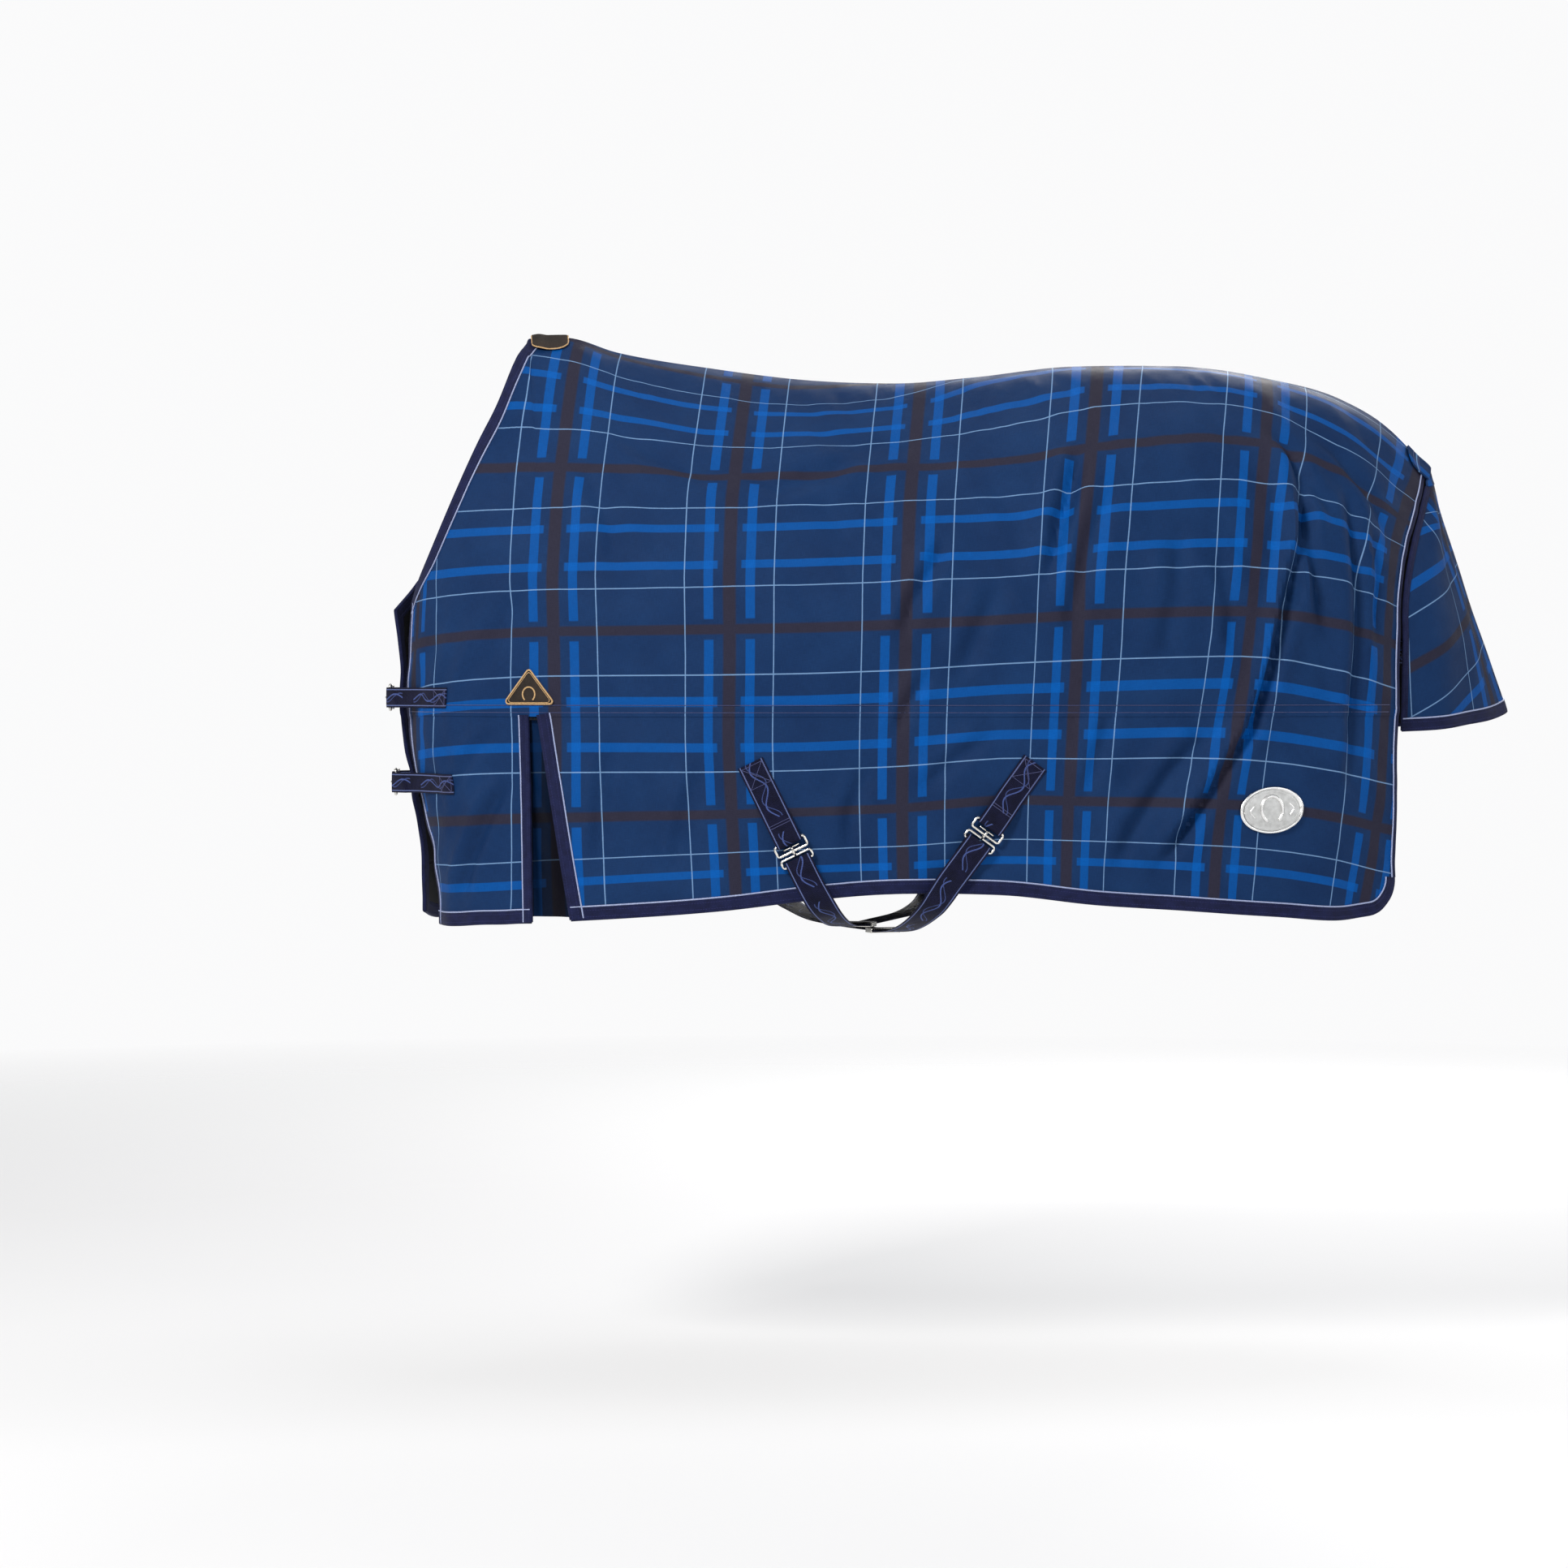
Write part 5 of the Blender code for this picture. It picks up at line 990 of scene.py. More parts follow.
def smooth_line(points, step):
    """Even points on a smooth curve through the given ones."""
    p = np.asarray(points, float)
    k = np.concatenate([[0], np.cumsum(np.linalg.norm(np.diff(p[:, :3], axis=0), axis=1) ** 0.5)])
    fine = []
    for i in range(len(p) - 1):
        m0 = (p[min(i + 1, len(p) - 1)] - p[max(i - 1, 0)]) / (k[min(i + 1, len(p) - 1)] - k[max(i - 1, 0)])
        m1 = (p[min(i + 2, len(p) - 1)] - p[i]) / (k[min(i + 2, len(p) - 1)] - k[i])
        h = k[i + 1] - k[i]
        for t in np.linspace(0, 1, 24, endpoint=False):
            fine.append((2 * t**3 - 3 * t**2 + 1) * p[i] + (t**3 - 2 * t**2 + t) * h * m0 + (-2 * t**3 + 3 * t**2) * p[i + 1] + (t**3 - t**2) * h * m1)
    fine.append(p[-1])
    fine = np.array(fine)
    d = np.concatenate([[0], np.cumsum(np.linalg.norm(np.diff(fine[:, :3], axis=0), axis=1))])
    s = np.linspace(0, d[-1], max(int(d[-1] / step), 4) + 1)
    return np.stack([np.interp(s, d, fine[:, c]) for c in range(fine.shape[1])], -1), s


TOPS = {}
ACROSS = np.array([0.0, 0.05, 0.15, 0.30, 0.5, 0.70, 0.85, 0.95, 1.0])


def webbing(name, path, normals, width, thick, mat, over=None, lay=None, v0=0.0, step=0.0025):
    """Flat woven strap with rolled edges. Where lay is 1 it lies on the cloth below it, where it is 0 it follows its own line."""
    data = np.concatenate([np.asarray(path, float), np.asarray(normals, float), np.asarray(lay if lay is not None else [0.0] * len(path), float)[:, None]], 1)
    q, s = smooth_line(data, step)
    pts, nrm, w = q[:, :3], q[:, 3:6], smooth01(q[:, 6])
    t = np.gradient(pts, axis=0)
    t /= np.linalg.norm(t, axis=1)[:, None]
    nrm = nrm - t * np.sum(nrm * t, 1)[:, None]
    nrm /= np.linalg.norm(nrm, axis=1)[:, None]
    across = np.cross(t, nrm)
    n, c = len(pts), len(ACROSS)
    top, low = np.zeros((n, c, 3)), np.zeros((n, c, 3))
    for i in range(n):
        for k, a in enumerate(ACROSS):
            x = pts[i] + across[i] * width * (a - 0.5)
            edge = 1 - 0.55 * (abs(2 * a - 1) ** 6)
            m, base = nrm[i], x
            if over is not None and w[i] > 0.001:
                hit = over.ray_cast(Vector(x + m * 0.02), Vector(-m), 0.05)
                if hit[0] is not None:
                    base = x * (1 - w[i]) + (np.array(hit[0]) + m * (0.0006 + thick / 2)) * w[i]
            top[i, k] = base + m * thick / 2 * edge
            low[i, k] = base - m * thick / 2 * edge
    rings = np.concatenate([top, low[:, ::-1]], 1)
    m_ = rings.shape[1]
    faces = [tuple(f) for f in quads(n, m_)]
    faces += [(i * m_ + m_ - 1, (i + 1) * m_ + m_ - 1, (i + 1) * m_, i * m_) for i in range(n - 1)]
    faces += [tuple(range(m_)), tuple(range((n - 1) * m_, n * m_))[::-1]]
    uv = np.zeros((n, m_, 2))
    uv[:, :c, 0], uv[:, c:, 0] = ACROSS * width, ACROSS[::-1] * width
    uv[:, :, 1] = s[:, None] + v0
    o = build(name, rings.reshape(-1, 3), faces, mat, uv.reshape(-1, 2), sharp=50)
    TOPS[name] = (top, s, width, nrm)
    return o


def sewn(name, strap, loops):
    """Stitch lines on a strap's outer face, given as polylines of (across, along) in metres."""
    top, s, width, nrm = TOPS[strap]
    made = []
    for k, line in enumerate(loops):
        pts = []
        for (a0, s0), (a1, s1) in zip(line, line[1:]):
            m = max(int(math.hypot(a1 - a0, s1 - s0) / 0.0015), 2)
            for t in np.linspace(0, 1, m, endpoint=False):
                pts.append((a0 + (a1 - a0) * t, s0 + (s1 - s0) * t))
        pts.append(line[-1])
        out = []
        for a, b in pts:
            b = b if b >= 0 else s[-1] + b
            i = np.interp(b, s, np.arange(len(s)))
            i0 = min(int(i), len(s) - 2)
            f = i - i0
            row = top[i0] * (1 - f) + top[i0 + 1] * f
            p = np.array([np.interp(a / width, ACROSS, row[:, c]) for c in range(3)])
            out.append(p + nrm[i0] * 0.0001)
        made.append(tube(f"{name}_{k}", out, 0.00045, THREAD, 4))
    return made


def joined(name, parts, mat, matrix=None, sharp=40, slots=None):
    """One object from several lists of (verts, faces)."""
    verts, faces, n = [], [], 0
    for v, f in parts:
        verts += [tuple(p) for p in v]
        faces += [tuple(i + n for i in q) for q in f]
        n += len(v)
    if matrix is not None:
        verts = moved(matrix, verts)
    return build(name, verts, faces, mat, None, sharp)


def ring_wire(corners, r, fillet=0.0036, sides=16, arc=8, squash=1.0):
    """Closed loop of round wire in the XY plane."""
    pts = []
    m = len(corners)
    for i in range(m):
        p, a, b = Vector(corners[i]), Vector(corners[i - 1]), Vector(corners[(i + 1) % m])
        da, db = (a - p).normalized(), (b - p).normalized()
        half = da.angle(db) / 2
        cut = fillet / math.tan(half)
        c = p + (da + db).normalized() * (fillet / math.sin(half))
        s, e = p + da * cut - c, p + db * cut - c
        turn = s.angle(e)
        sign = 1 if s.x * e.y - s.y * e.x > 0 else -1
        for k in range(arc + 1):
            t = sign * turn * k / arc
            pts.append((c.x + s.x * math.cos(t) - s.y * math.sin(t), c.y + s.x * math.sin(t) + s.y * math.cos(t)))
    return ring_line(pts, r, sides, squash)


def ring_line(pts, r, sides=12, squash=1.0):
    verts, faces = [], []
    m = len(pts)
    for i in range(m):
        a, p, b = Vector(pts[i - 1][:2]), Vector(pts[i][:2]), Vector(pts[(i + 1) % m][:2])
        t = ((b - p).normalized() + (p - a).normalized()).normalized()
        o = Vector((t.y, -t.x))
        z = pts[i][2] if len(pts[i]) > 2 else 0.0
        for k in range(sides):
            c = 2 * math.pi * (k + 0.5) / sides
            verts.append((p.x + o.x * r * math.cos(c), p.y + o.y * r * math.cos(c), z + r * squash * math.sin(c)))
    for i in range(m):
        j = (i + 1) % m
        for k in range(sides):
            faces.append((i * sides + k, i * sides + (k + 1) % sides, j * sides + (k + 1) % sides, j * sides + k))
    return verts, faces


def rod(points, r, sides=14, step=0.0008, round_ends=True):
    pts, _ = smooth_line(points, step)
    radii = np.full(len(pts), r)
    if round_ends:
        head, tail = pts[0] - (pts[1] - pts[0]) / np.linalg.norm(pts[1] - pts[0]) * r * 0.6, pts[-1] + (pts[-1] - pts[-2]) / np.linalg.norm(pts[-1] - pts[-2]) * r * 0.6
        pts = np.vstack([head, pts, tail])
        radii = np.concatenate([[r * 0.55], radii, [r * 0.55]])
        radii[1], radii[-2] = r * 0.96, r * 0.96
    verts, faces = [], []
    t0 = pts[1] - pts[0]
    ref = np.array([1.0, 0, 0]) if abs(t0[0]) < 0.7 * np.linalg.norm(t0) else np.array([0, 1.0, 0])
    for i, p in enumerate(pts):
        t = pts[min(i + 1, len(pts) - 1)] - pts[max(i - 1, 0)]
        t = t / np.linalg.norm(t)
        ref = ref - t * (ref @ t)
        ref = ref / np.linalg.norm(ref)
        b = np.cross(t, ref)
        for k in range(sides):
            c = 2 * math.pi * (k + 0.5) / sides
            verts.append(tuple(p + ref * (radii[i] * math.cos(c)) + b * (radii[i] * math.sin(c))))
    for i in range(len(pts) - 1):
        for k in range(sides):
            faces.append((i * sides + k, i * sides + (k + 1) % sides, (i + 1) * sides + (k + 1) % sides, (i + 1) * sides + k))
    faces += [tuple(reversed(range(sides))), tuple(range((len(pts) - 1) * sides, len(pts) * sides))]
    return verts, faces


def bar(lo, hi, bevel=0.0005):
    """Box with rounded edges."""
    bm = bmesh.new()
    bmesh.ops.create_cube(bm, size=1.0)
    for v in bm.verts:
        v.co = Vector((lo[c] if v.co[c] < 0 else hi[c] for c in range(3)))
    bmesh.ops.bevel(bm, geom=list(bm.edges), offset=bevel, segments=3, profile=0.5, affect="EDGES")
    bm.verts.index_update()
    out = [tuple(v.co) for v in bm.verts], [tuple(v.index for v in f.verts) for f in bm.faces]
    bm.free()
    return out


# ------------------------------------------------------------------ tail flap
FLAP_WRAP = math.radians(68)


def flap_surface(A, B):
    """A -1 to 1 across, B 0 to 1 down."""
    g = DRAPE[-1]
    ridge_x = 0.8290 + 0.112 * B - 0.012 * np.sin(math.pi * B) * (1 - B)
    ridge_z = -0.1300 - 0.368 * B
    edge = g.get(g.P, np.full(A.shape, g.top), 0.040 + 0.455 * B)
    ex, ey, ez = edge[..., 0] + 0.0060 + 0.010 * B * B, -edge[..., 1] - 0.004 * B, edge[..., 2] - 0.004
    ey = ey - 0.026 * np.maximum(0, B - 0.7) / 0.3
    t = A * FLAP_WRAP
    k = (np.cos(t) - math.cos(FLAP_WRAP)) / (1 - math.cos(FLAP_WRAP))
    x = ex + (np.maximum(ridge_x, ex + 0.0015) - ex) * k
    y = ey * np.sin(t) / math.sin(FLAP_WRAP)
    z = ez + (ridge_z - ez) * (1 - np.abs(np.sin(t) / math.sin(FLAP_WRAP)) ** 1.3)
    return np.stack([x, y, z], -1)


def flap_at(A, B, off=0.0):
    A, B = np.broadcast_arrays(np.asarray(A, float), np.asarray(B, float))
    h = 0.004
    p = flap_surface(A, B)
    da = flap_surface(np.minimum(A + h, 1), B) - flap_surface(np.maximum(A - h, -1), B)
    db = flap_surface(A, np.minimum(B + h, 1)) - flap_surface(A, np.maximum(B - h, 0))
    n = -np.cross(da, db)
    n /= np.linalg.norm(n, axis=-1)[..., None]
    drop = smooth01(B / 0.35)
    f = drop * (0.0050 * np.sin(A * 7.5 + 0.9 + 0.8 * B) + 0.0022 * np.sin(A * 17.0 + 2.0 * B + 0.4)) * smooth01((1.02 - np.abs(A)) / 0.10)
    f = f + 0.0016 * drop * noise2(A * 5 + 9, B * 5 + 4, 21) - 0.0015 * drop
    return p + n * (f + off)[..., None], n


FA, FB = np.linspace(-1, 1, 97), np.linspace(0, 1, 90)
A, B = np.meshgrid(FA, FB, indexing="ij")
mid = flap_surface(A, B)
arc_a = np.concatenate([np.zeros((1, len(FB))), np.cumsum(np.linalg.norm(np.diff(mid, axis=0), axis=2), axis=0)])
arc_a -= arc_a[len(FA) // 2]
arc_b = np.concatenate([[0], np.cumsum(np.linalg.norm(np.diff(mid[len(FA) // 2], axis=0), axis=1))])
# the flap is cut on the bias each side of its middle, so its rows rise towards the dock line
rise_a = 0.42 * (0.20 - np.sqrt(arc_a ** 2 + 0.03 ** 2)) * smooth01(arc_b[None, :] / 0.15)
uv = np.stack([arc_a * 1.0 + 0.061, arc_b[None, :] + 0.030 + rise_a], -1)
(o_, _), (i_, _) = flap_at(A, B), flap_at(A, B, -SHELL_T)
v, f, t = slab(o_, i_, uv)
build("flap_shell", v, f, PLAID, t)
A2, B2 = np.meshgrid(np.linspace(-0.97, 0.97, 81), np.linspace(0.02, 0.992, 70), indexing="ij")
(o_, _), (i_, _) = flap_at(A2, B2, INN), flap_at(A2, B2, INN - LINING_T)
v, f, t = slab(o_, i_, np.stack([A2 * 0.2, B2 * 0.4], -1))
build("flap_lining", v, f, LININGM, t)
flap_o, flap_u = tree("flap_shell"), tree("flap_shell")
a_ = np.linspace(-1, 1, 160)
b_ = np.linspace(0.05, 1, 120)
p, n = flap_at(a_, np.ones(160))
tape("binding_flap_hem", p, n, flap_at(a_, np.full(160, 0.93))[0], flap_o, flap_u, off=0.0002)
for s in (-1, 1):
    p, n = flap_at(np.full(120, float(s)), b_)
    tape(f"binding_flap_side_{'left' if s < 0 else 'right'}", p, n, flap_at(np.full(120, s * 0.9), b_)[0], flap_o, flap_u, width=0.0080, pipe=False)

# the flap's top margin, sewn over the dock end of the rug
over_rear = tree("shell_back", "binding_rear_left", "binding_rear_right")
rows, cols = 14, 61
grid_o, grid_i, uvm = np.zeros((cols, rows, 3)), np.zeros((cols, rows, 3)), np.zeros((cols, rows, 2))
for i, a in enumerate(np.linspace(-1, 1, cols)):
    side = -1 if a < 0 else 1
    g = DRAPE[side]
    tgt, tn = flap_at(a, 0.05)
    for j, w in enumerate(np.linspace(0, 1, rows)):
        u = g.top + 0.006 - 0.030 * (1 - abs(a) ** 3 * 0.3) * (1 - w / 0.72) if w < 0.72 else g.top
        d = abs(a) * 0.046
        p, n = g.at(min(u, g.top), d), g.normal(min(u, g.top), d)
        n = n if abs(a) > 0.02 else np.array([n[0], 0, n[2]]) / math.hypot(n[0], n[2])
        p = p + (u - g.top) * np.array([0.82, 0, -0.57]) if u > g.top else p
        lift = 0.0026 + 0.0020 * smooth01((w - 0.25) / 0.3)
        p = p + n * lift
        k = smooth01((w - 0.62) / 0.38)
        m = n * (1 - k) + tn * k
        m /= np.linalg.norm(m)
        q = p * (1 - k) + tgt * k + m * 0.0004
        grid_o[i, j], grid_i[i, j] = q + m * 0.0006, q - m * 0.0010
        uvm[i, j] = (a * 0.045 + 0.061, 0.030 - 0.040 * (1 - w))
v, f, t = slab(grid_o, grid_i, uvm)
build("flap_margin", v, f, PLAID, t)
row = grid_o[:, 1]
tube("flap_stitch_0", grid_o[2:-2, 2] + 0.0002, 0.00045, THREAD, 4)
tube("flap_stitch_1", grid_o[2:-2, 4] + 0.0002, 0.00045, THREAD, 4)

# narrow strap behind the buttocks, under the flap
half = [((0.690, 0.2145, -0.395), (0, 1, 0)), ((0.722, 0.1955, -0.398), (0.3, 1, 0)), ((0.750, 0.165, -0.402), (0.7, 0.8, 0)),
        ((0.778, 0.115, -0.408), (1, 0.5, 0)), ((0.792, 0.060, -0.413), (1, 0.2, 0))]
path = [(x, -y, z) for (x, y, z), _ in half] + [(0.797, 0, -0.415)] + [q for q, _ in half[::-1]]
nn = [(a, -b, c) for _, (a, b, c) in half] + [(1, 0, 0)] + [q for _, q in half[::-1]]
WEB25 = webbing_material(0.025)
webbing("strap_tail", path, nn, 0.025, 0.0015, WEB25)

# ------------------------------------------------------------------ wither patch, gusset patches, badge
nx, ns = 30, 60
top, low = np.zeros((nx + 1, ns + 1, 3)), np.zeros((nx + 1, ns + 1, 3))
over_neck = tree("shell_back", "binding_neck", "piping_neck")
for i in range(nx + 1):
    k = i / nx
    x = -0.5465 + 0.0545 * k
    reach = 0.020 + 0.0235 * math.sqrt(max(0.0, 1 - abs(2 * k - 1) ** 2.6))
    for j in range(ns + 1):
        s = -reach + 2 * reach * j / ns
        g = DRAPE[-1 if s < 0 else 1]
        kk, _ = TABLES[g.side]
        u = g.withers + (x + 0.550) / 0.050 * (kk[8] - kk[7])
        p, n = g.at(u, abs(s)), g.normal(u, max(abs(s), 0.004))
        b = min(1, abs(s) / 0.012)
        n = n * b + np.array([n[0], 0, abs(n[2]) + 0.2]) * (1 - b)
        n /= np.linalg.norm(n)
        edge = max(abs(2 * k - 1), abs(s) / reach)
        lift = 0.0022 + 0.0030 * smooth01((-0.521 - x) / 0.016)
        thick = 0.0022 * (1 - 0.6 * max(0, (edge - 0.94) / 0.06) ** 2)
        top[i, j], low[i, j] = p + n * (lift + thick), p + n * lift
v, f, t = slab(top, low, np.zeros((nx + 1, ns + 1, 2)))
build("patch_withers", v, f, LEATHERM, t)
rim = np.concatenate([top[0, 1:-1], top[1:-1, -1], top[-1, 1:-1][::-1], top[1:-1, 0][::-1]])
tube("patch_withers_edge", rim, 0.0011, EDGEM, 8, closed=True)

for side, word in SIDES.items():
    g = DRAPE[side]
    m = at_matrix(side, -0.553, -0.466, (0, -1), 0.0)
    over = tree("shell_back", f"shell_chest_{word}", f"shell_side_{word}", f"binding_slot_front_{word}", f"binding_slot_rear_{word}")
    corners = [(-0.041, 0.019), (0.041, 0.019), (0.0, -0.034)] if side < 0 else [(-0.041, 0.019), (0.041, 0.019), (0.0, -0.034)]
    ring = []
    mm = len(corners)
    for i in range(mm):
        p, a, b = Vector(corners[i]), Vector(corners[i - 1]), Vector(corners[(i + 1) % mm])
        da, db = (a - p).normalized(), (b - p).normalized()
        h_ = da.angle(db) / 2
        r_ = 0.004
        c = p + (da + db).normalized() * (r_ / math.sin(h_))
        s, e = p + da * (r_ / math.tan(h_)) - c, p + db * (r_ / math.tan(h_)) - c
        turn = s.angle(e)
        sign = 1 if s.x * e.y - s.y * e.x > 0 else -1
        for q in range(7):
            tt = sign * turn * q / 6
            ring.append((c.x + s.x * math.cos(tt) - s.y * math.sin(tt), c.y + s.x * math.sin(tt) + s.y * math.cos(tt)))
        nxt = Vector(corners[(i + 1) % mm])
    dense = []
    for i in range(len(ring)):
        p, q = Vector(ring[i]), Vector(ring[(i + 1) % len(ring)])
        cnt = max(int((q - p).length / 0.003), 1)
        dense += [tuple(p.lerp(q, t / cnt)) for t in range(cnt)]
    c0 = Vector((0, 0.001))
    rings = [1.0, 0.985, 0.90, 0.7, 0.5, 0.3, 0.12]
    rise = [0.0002, 0.0020, 0.0023, 0.0023, 0.0023, 0.0023, 0.0023]
    zn = Vector((m[0][2], m[1][2], m[2][2]))
    verts = []

    def lie(a, b, up):
        p = m @ Vector((a, b, 0.03))
        hit = over.ray_cast(p, -zn, 0.08)
        q = hit[0] if hit[0] is not None else m @ Vector((a, b, 0.0))
        return q + zn * up
    base = [lie(a, b, 0) for a, b in dense]
    level = sum((m.inverted() @ q).z for q in base) / len(base)

    def settle(a, b, up):
        q = m.inverted() @ lie(a, b, 0)
        return m @ Vector((a, b, max(q.z, level * 0.5 + q.z * 0.5) + 0.0007 + up))
    for s, u_ in zip(rings, rise):
        for a, b in dense:
            verts.append(settle(c0.x + (a - c0.x) * s, c0.y + (b - c0.y) * s, u_))
    nr = len(dense)
    faces = []
    for k in range(len(rings) - 1):
        for i in range(nr):
            faces.append((k * nr + i, k * nr + (i + 1) % nr, (k + 1) * nr + (i + 1) % nr, (k + 1) * nr + i))
    faces.append(tuple((len(rings) - 1) * nr + i for i in range(nr)))
    faces.append(tuple(range(nr))[::-1])
    build(f"patch_{word}", verts, faces, LEATHERM)
    tube(f"patch_edge_{word}", [settle(c0.x + (a - c0.x) * 0.975, c0.y + (b - c0.y) * 0.975, 0.0021) for a, b in dense], 0.0012, EDGEM, 8, closed=True)
    tube(f"patch_stitch_{word}", [settle(c0.x + (a - c0.x) * 0.86, c0.y + (b - c0.y) * 0.86, 0.0024) for a, b in dense], 0.00045, EDGEM, 5, closed=True)
    arc_pts = [settle(0.0095 * math.cos(t), 0.0045 - 0.0105 * math.sin(t) * (1 if side < 0 else 1), 0.0026) for t in np.linspace(-0.28 * math.pi, 1.28 * math.pi, 34)]
    tube(f"patch_emboss_{word}", arc_pts, 0.0011, EDGEM, 8)

bm_ = at_matrix(-1, 0.529, -0.640, (0.09, -1), 0.0016)
over = tree("shell_side_left")
RX, RY = 0.050, 0.034
rings = [(1.0, 0.0), (1.0, 0.0020), (0.985, 0.0028), (0.955, 0.0032), (0.925, 0.0030), (0.905, 0.0022), (0.88, 0.0019), (0.7, 0.0021), (0.5, 0.0022), (0.3, 0.0023), (0.1, 0.0023)]
verts = [(RX * s * math.cos(2 * math.pi * i / 96), RY * s * math.sin(2 * math.pi * i / 96), h) for s, h in rings for i in range(96)]
faces = [(k * 96 + i, k * 96 + (i + 1) % 96, (k + 1) * 96 + (i + 1) % 96, (k + 1) * 96 + i) for k in range(len(rings) - 1) for i in range(96)]
faces += [tuple((len(rings) - 1) * 96 + i for i in range(96)), tuple(range(96))[::-1]]
shoe = []
for t in np.linspace(-0.30 * math.pi, 1.30 * math.pi, 49):
    shoe.append((0.0165 * math.cos(t), -0.001 - 0.0195 * math.sin(t), 0.0028))
parts = [(verts, faces), rod(shoe, 0.0026, 12, 0.0012), rod([(q[0] * 1.0, q[1] * 1.0, 0.0050) for q in shoe[6:-6]], 0.0005, 8, 0.0012)]
for t in np.linspace(-0.12 * math.pi, 1.12 * math.pi, 7):
    if abs(t - math.pi / 2) < 0.2:
        continue
    x, y = 0.0165 * math.cos(t), -0.001 - 0.0195 * math.sin(t)
    parts.append(rod([(x, y, 0.0050), (x, y, 0.0058)], 0.0008, 8, 0.0004))
for sx in (-1, 1):
    parts.append(rod([(sx * 0.028, -0.008, 0.0021), (sx * 0.034, 0.0, 0.0024), (sx * 0.028, 0.009, 0.0021)], 0.0010, 8, 0.0010))
parts.append(ring_line([(RX * 0.82 * math.cos(2 * math.pi * i / 72), RY * 0.80 * math.sin(2 * math.pi * i / 72), 0.0021) for i in range(72)], 0.0004, 6))
badge_o = joined("badge", parts, SILVERM, bm_, 35)
# the recessed field inside the rim is matt and darker than the polished rim and horseshoe
field = [(RX * s * math.cos(2 * math.pi * i / 96), RY * s * math.sin(2 * math.pi * i / 96), h) for s, h in ((0.885, 0.00235), (0.60, 0.00255), (0.30, 0.00265), (0.02, 0.00270)) for i in range(96)]
joined("badge_field", [(field, [(k * 96 + i, k * 96 + (i + 1) % 96, (k + 1) * 96 + (i + 1) % 96, (k + 1) * 96 + i) for k in range(3) for i in range(96)] + [tuple(3 * 96 + i for i in range(96))])], RECESSM, bm_, 35)
for k, (x, y) in enumerate(((-0.0452, 0.0), (0.0452, 0.0))):
    v, f = rod([(x, y, 0.0030), (x, y, 0.0042)], 0.0016, 14, 0.0006)
    joined(f"badge_rivet_{k}", [(v, f)], STEELM, bm_)

# ------------------------------------------------------------------ surcingle couplings
COUPLINGS = {
    "front": (frame_of((-0.18059, -0.32009, -0.68293), (-0.89676, 0.05251, -0.43939), (0.43818, -0.03333, -0.89827), (-0.06182, -0.99806, 0.00688)), 0.126),
    "rear": (frame_of((0.11150, -0.32734, -0.66097), (-0.81102, 0.00173, 0.58501), (-0.58502, -0.00240, -0.81102), (0.0, -1.0, 0.00296)), 0.113),
}
SLIDES = {
    "belly_slide_front": ((-0.06073, -0.12831, -0.81362), (0.31722, 0.94830, -0.00954), (0, 0, -1.0), WEB_W),
    "belly_slide_rear": ((-0.02692, -0.13416, -0.82255), (-0.25157, 0.96781, -0.00712), (0, 0, -1.0), WEB_W),
    "chest_slide_upper": ((-0.76021, 0.05552, -0.47600), (0.05446, 0.99852, 0.0), (-1.0, 0, 0), CHEST_WEB_W),
    "chest_slide_lower": ((-0.75221, 0.05552, -0.60300), (0.05446, 0.99852, 0.0), (-1.0, 0, 0), CHEST_WEB_W),
}


def loop_path(radius, steps=10):
    return [(0, radius * math.sin(math.pi * k / steps), radius * math.cos(math.pi * k / steps)) for k in range(steps + 1)]


def bar_normals(m, pts):
    out = []
    for i in range(len(pts)):
        a, b = Vector(pts[max(i - 1, 0)]), Vector(pts[min(i + 1, len(pts) - 1)])
        t = (b - a).normalized()
        out.append(np.array(m.to_3x3() @ Vector((0, -t.z, t.y))))
    return out


def slot_plate(name, width, m):
    w = width / 2 + 0.0036
    parts = [ring_wire([(-w, 0), (w, 0), (w, PLATE_BAR), (-w, PLATE_BAR)], WIRE_R)]
    return joined(name, parts, STEELM, m)


def t_hook(name, width, m):
    w = width / 2 + 0.0036
    parts = [ring_wire([(-w, 0.0220), (w, 0.0220), (w, HOOK_BAR), (-w, HOOK_BAR)], WIRE_R),
             rod([(0, 0.0224, 0.0002), (0, 0.0204, 0.0026), (0, 0.0178, 0.0054), (0, 0.0140, 0.0060), (0, 0.0106, 0.0050), (0, 0.0090, 0.0018), (0, 0.0088, -0.0048)], 0.0019, 16),
             rod([(-0.0110, 0.0088, -0.0048), (0.0, 0.0088, -0.0048), (0.0110, 0.0088, -0.0048)], 0.0019, 16)]
    return joined(name, parts, STEELM, m)


def slide(name, spec):
    c, t, n, width = spec
    c, t, n = np.array(c), np.array(t, float), np.array(n, float)
    t /= np.linalg.norm(t)
    n -= t * (n @ t)
    n /= np.linalg.norm(n)
    xx = np.cross(t, n)
    m = frame_of(c, xx, t, n)
    w = width / 2
    parts = [bar((-w - 0.0032, y - 0.0013, 0.0018), (w + 0.0032, y + 0.0013, 0.0036), 0.0007) for y in (-0.0107, 0.0, 0.0107)]
    parts += [bar((s * (w + 0.0020) - 0.0012, -0.012, -0.0036), (s * (w + 0.0020) + 0.0012, 0.012, 0.0036), 0.0007) for s in (-1, 1)]
    parts.append(bar((-w - 0.0032, -0.012, -0.0036), (w + 0.0032, 0.012, -0.0019), 0.0006))
    return joined(name, parts, STEELM, m)


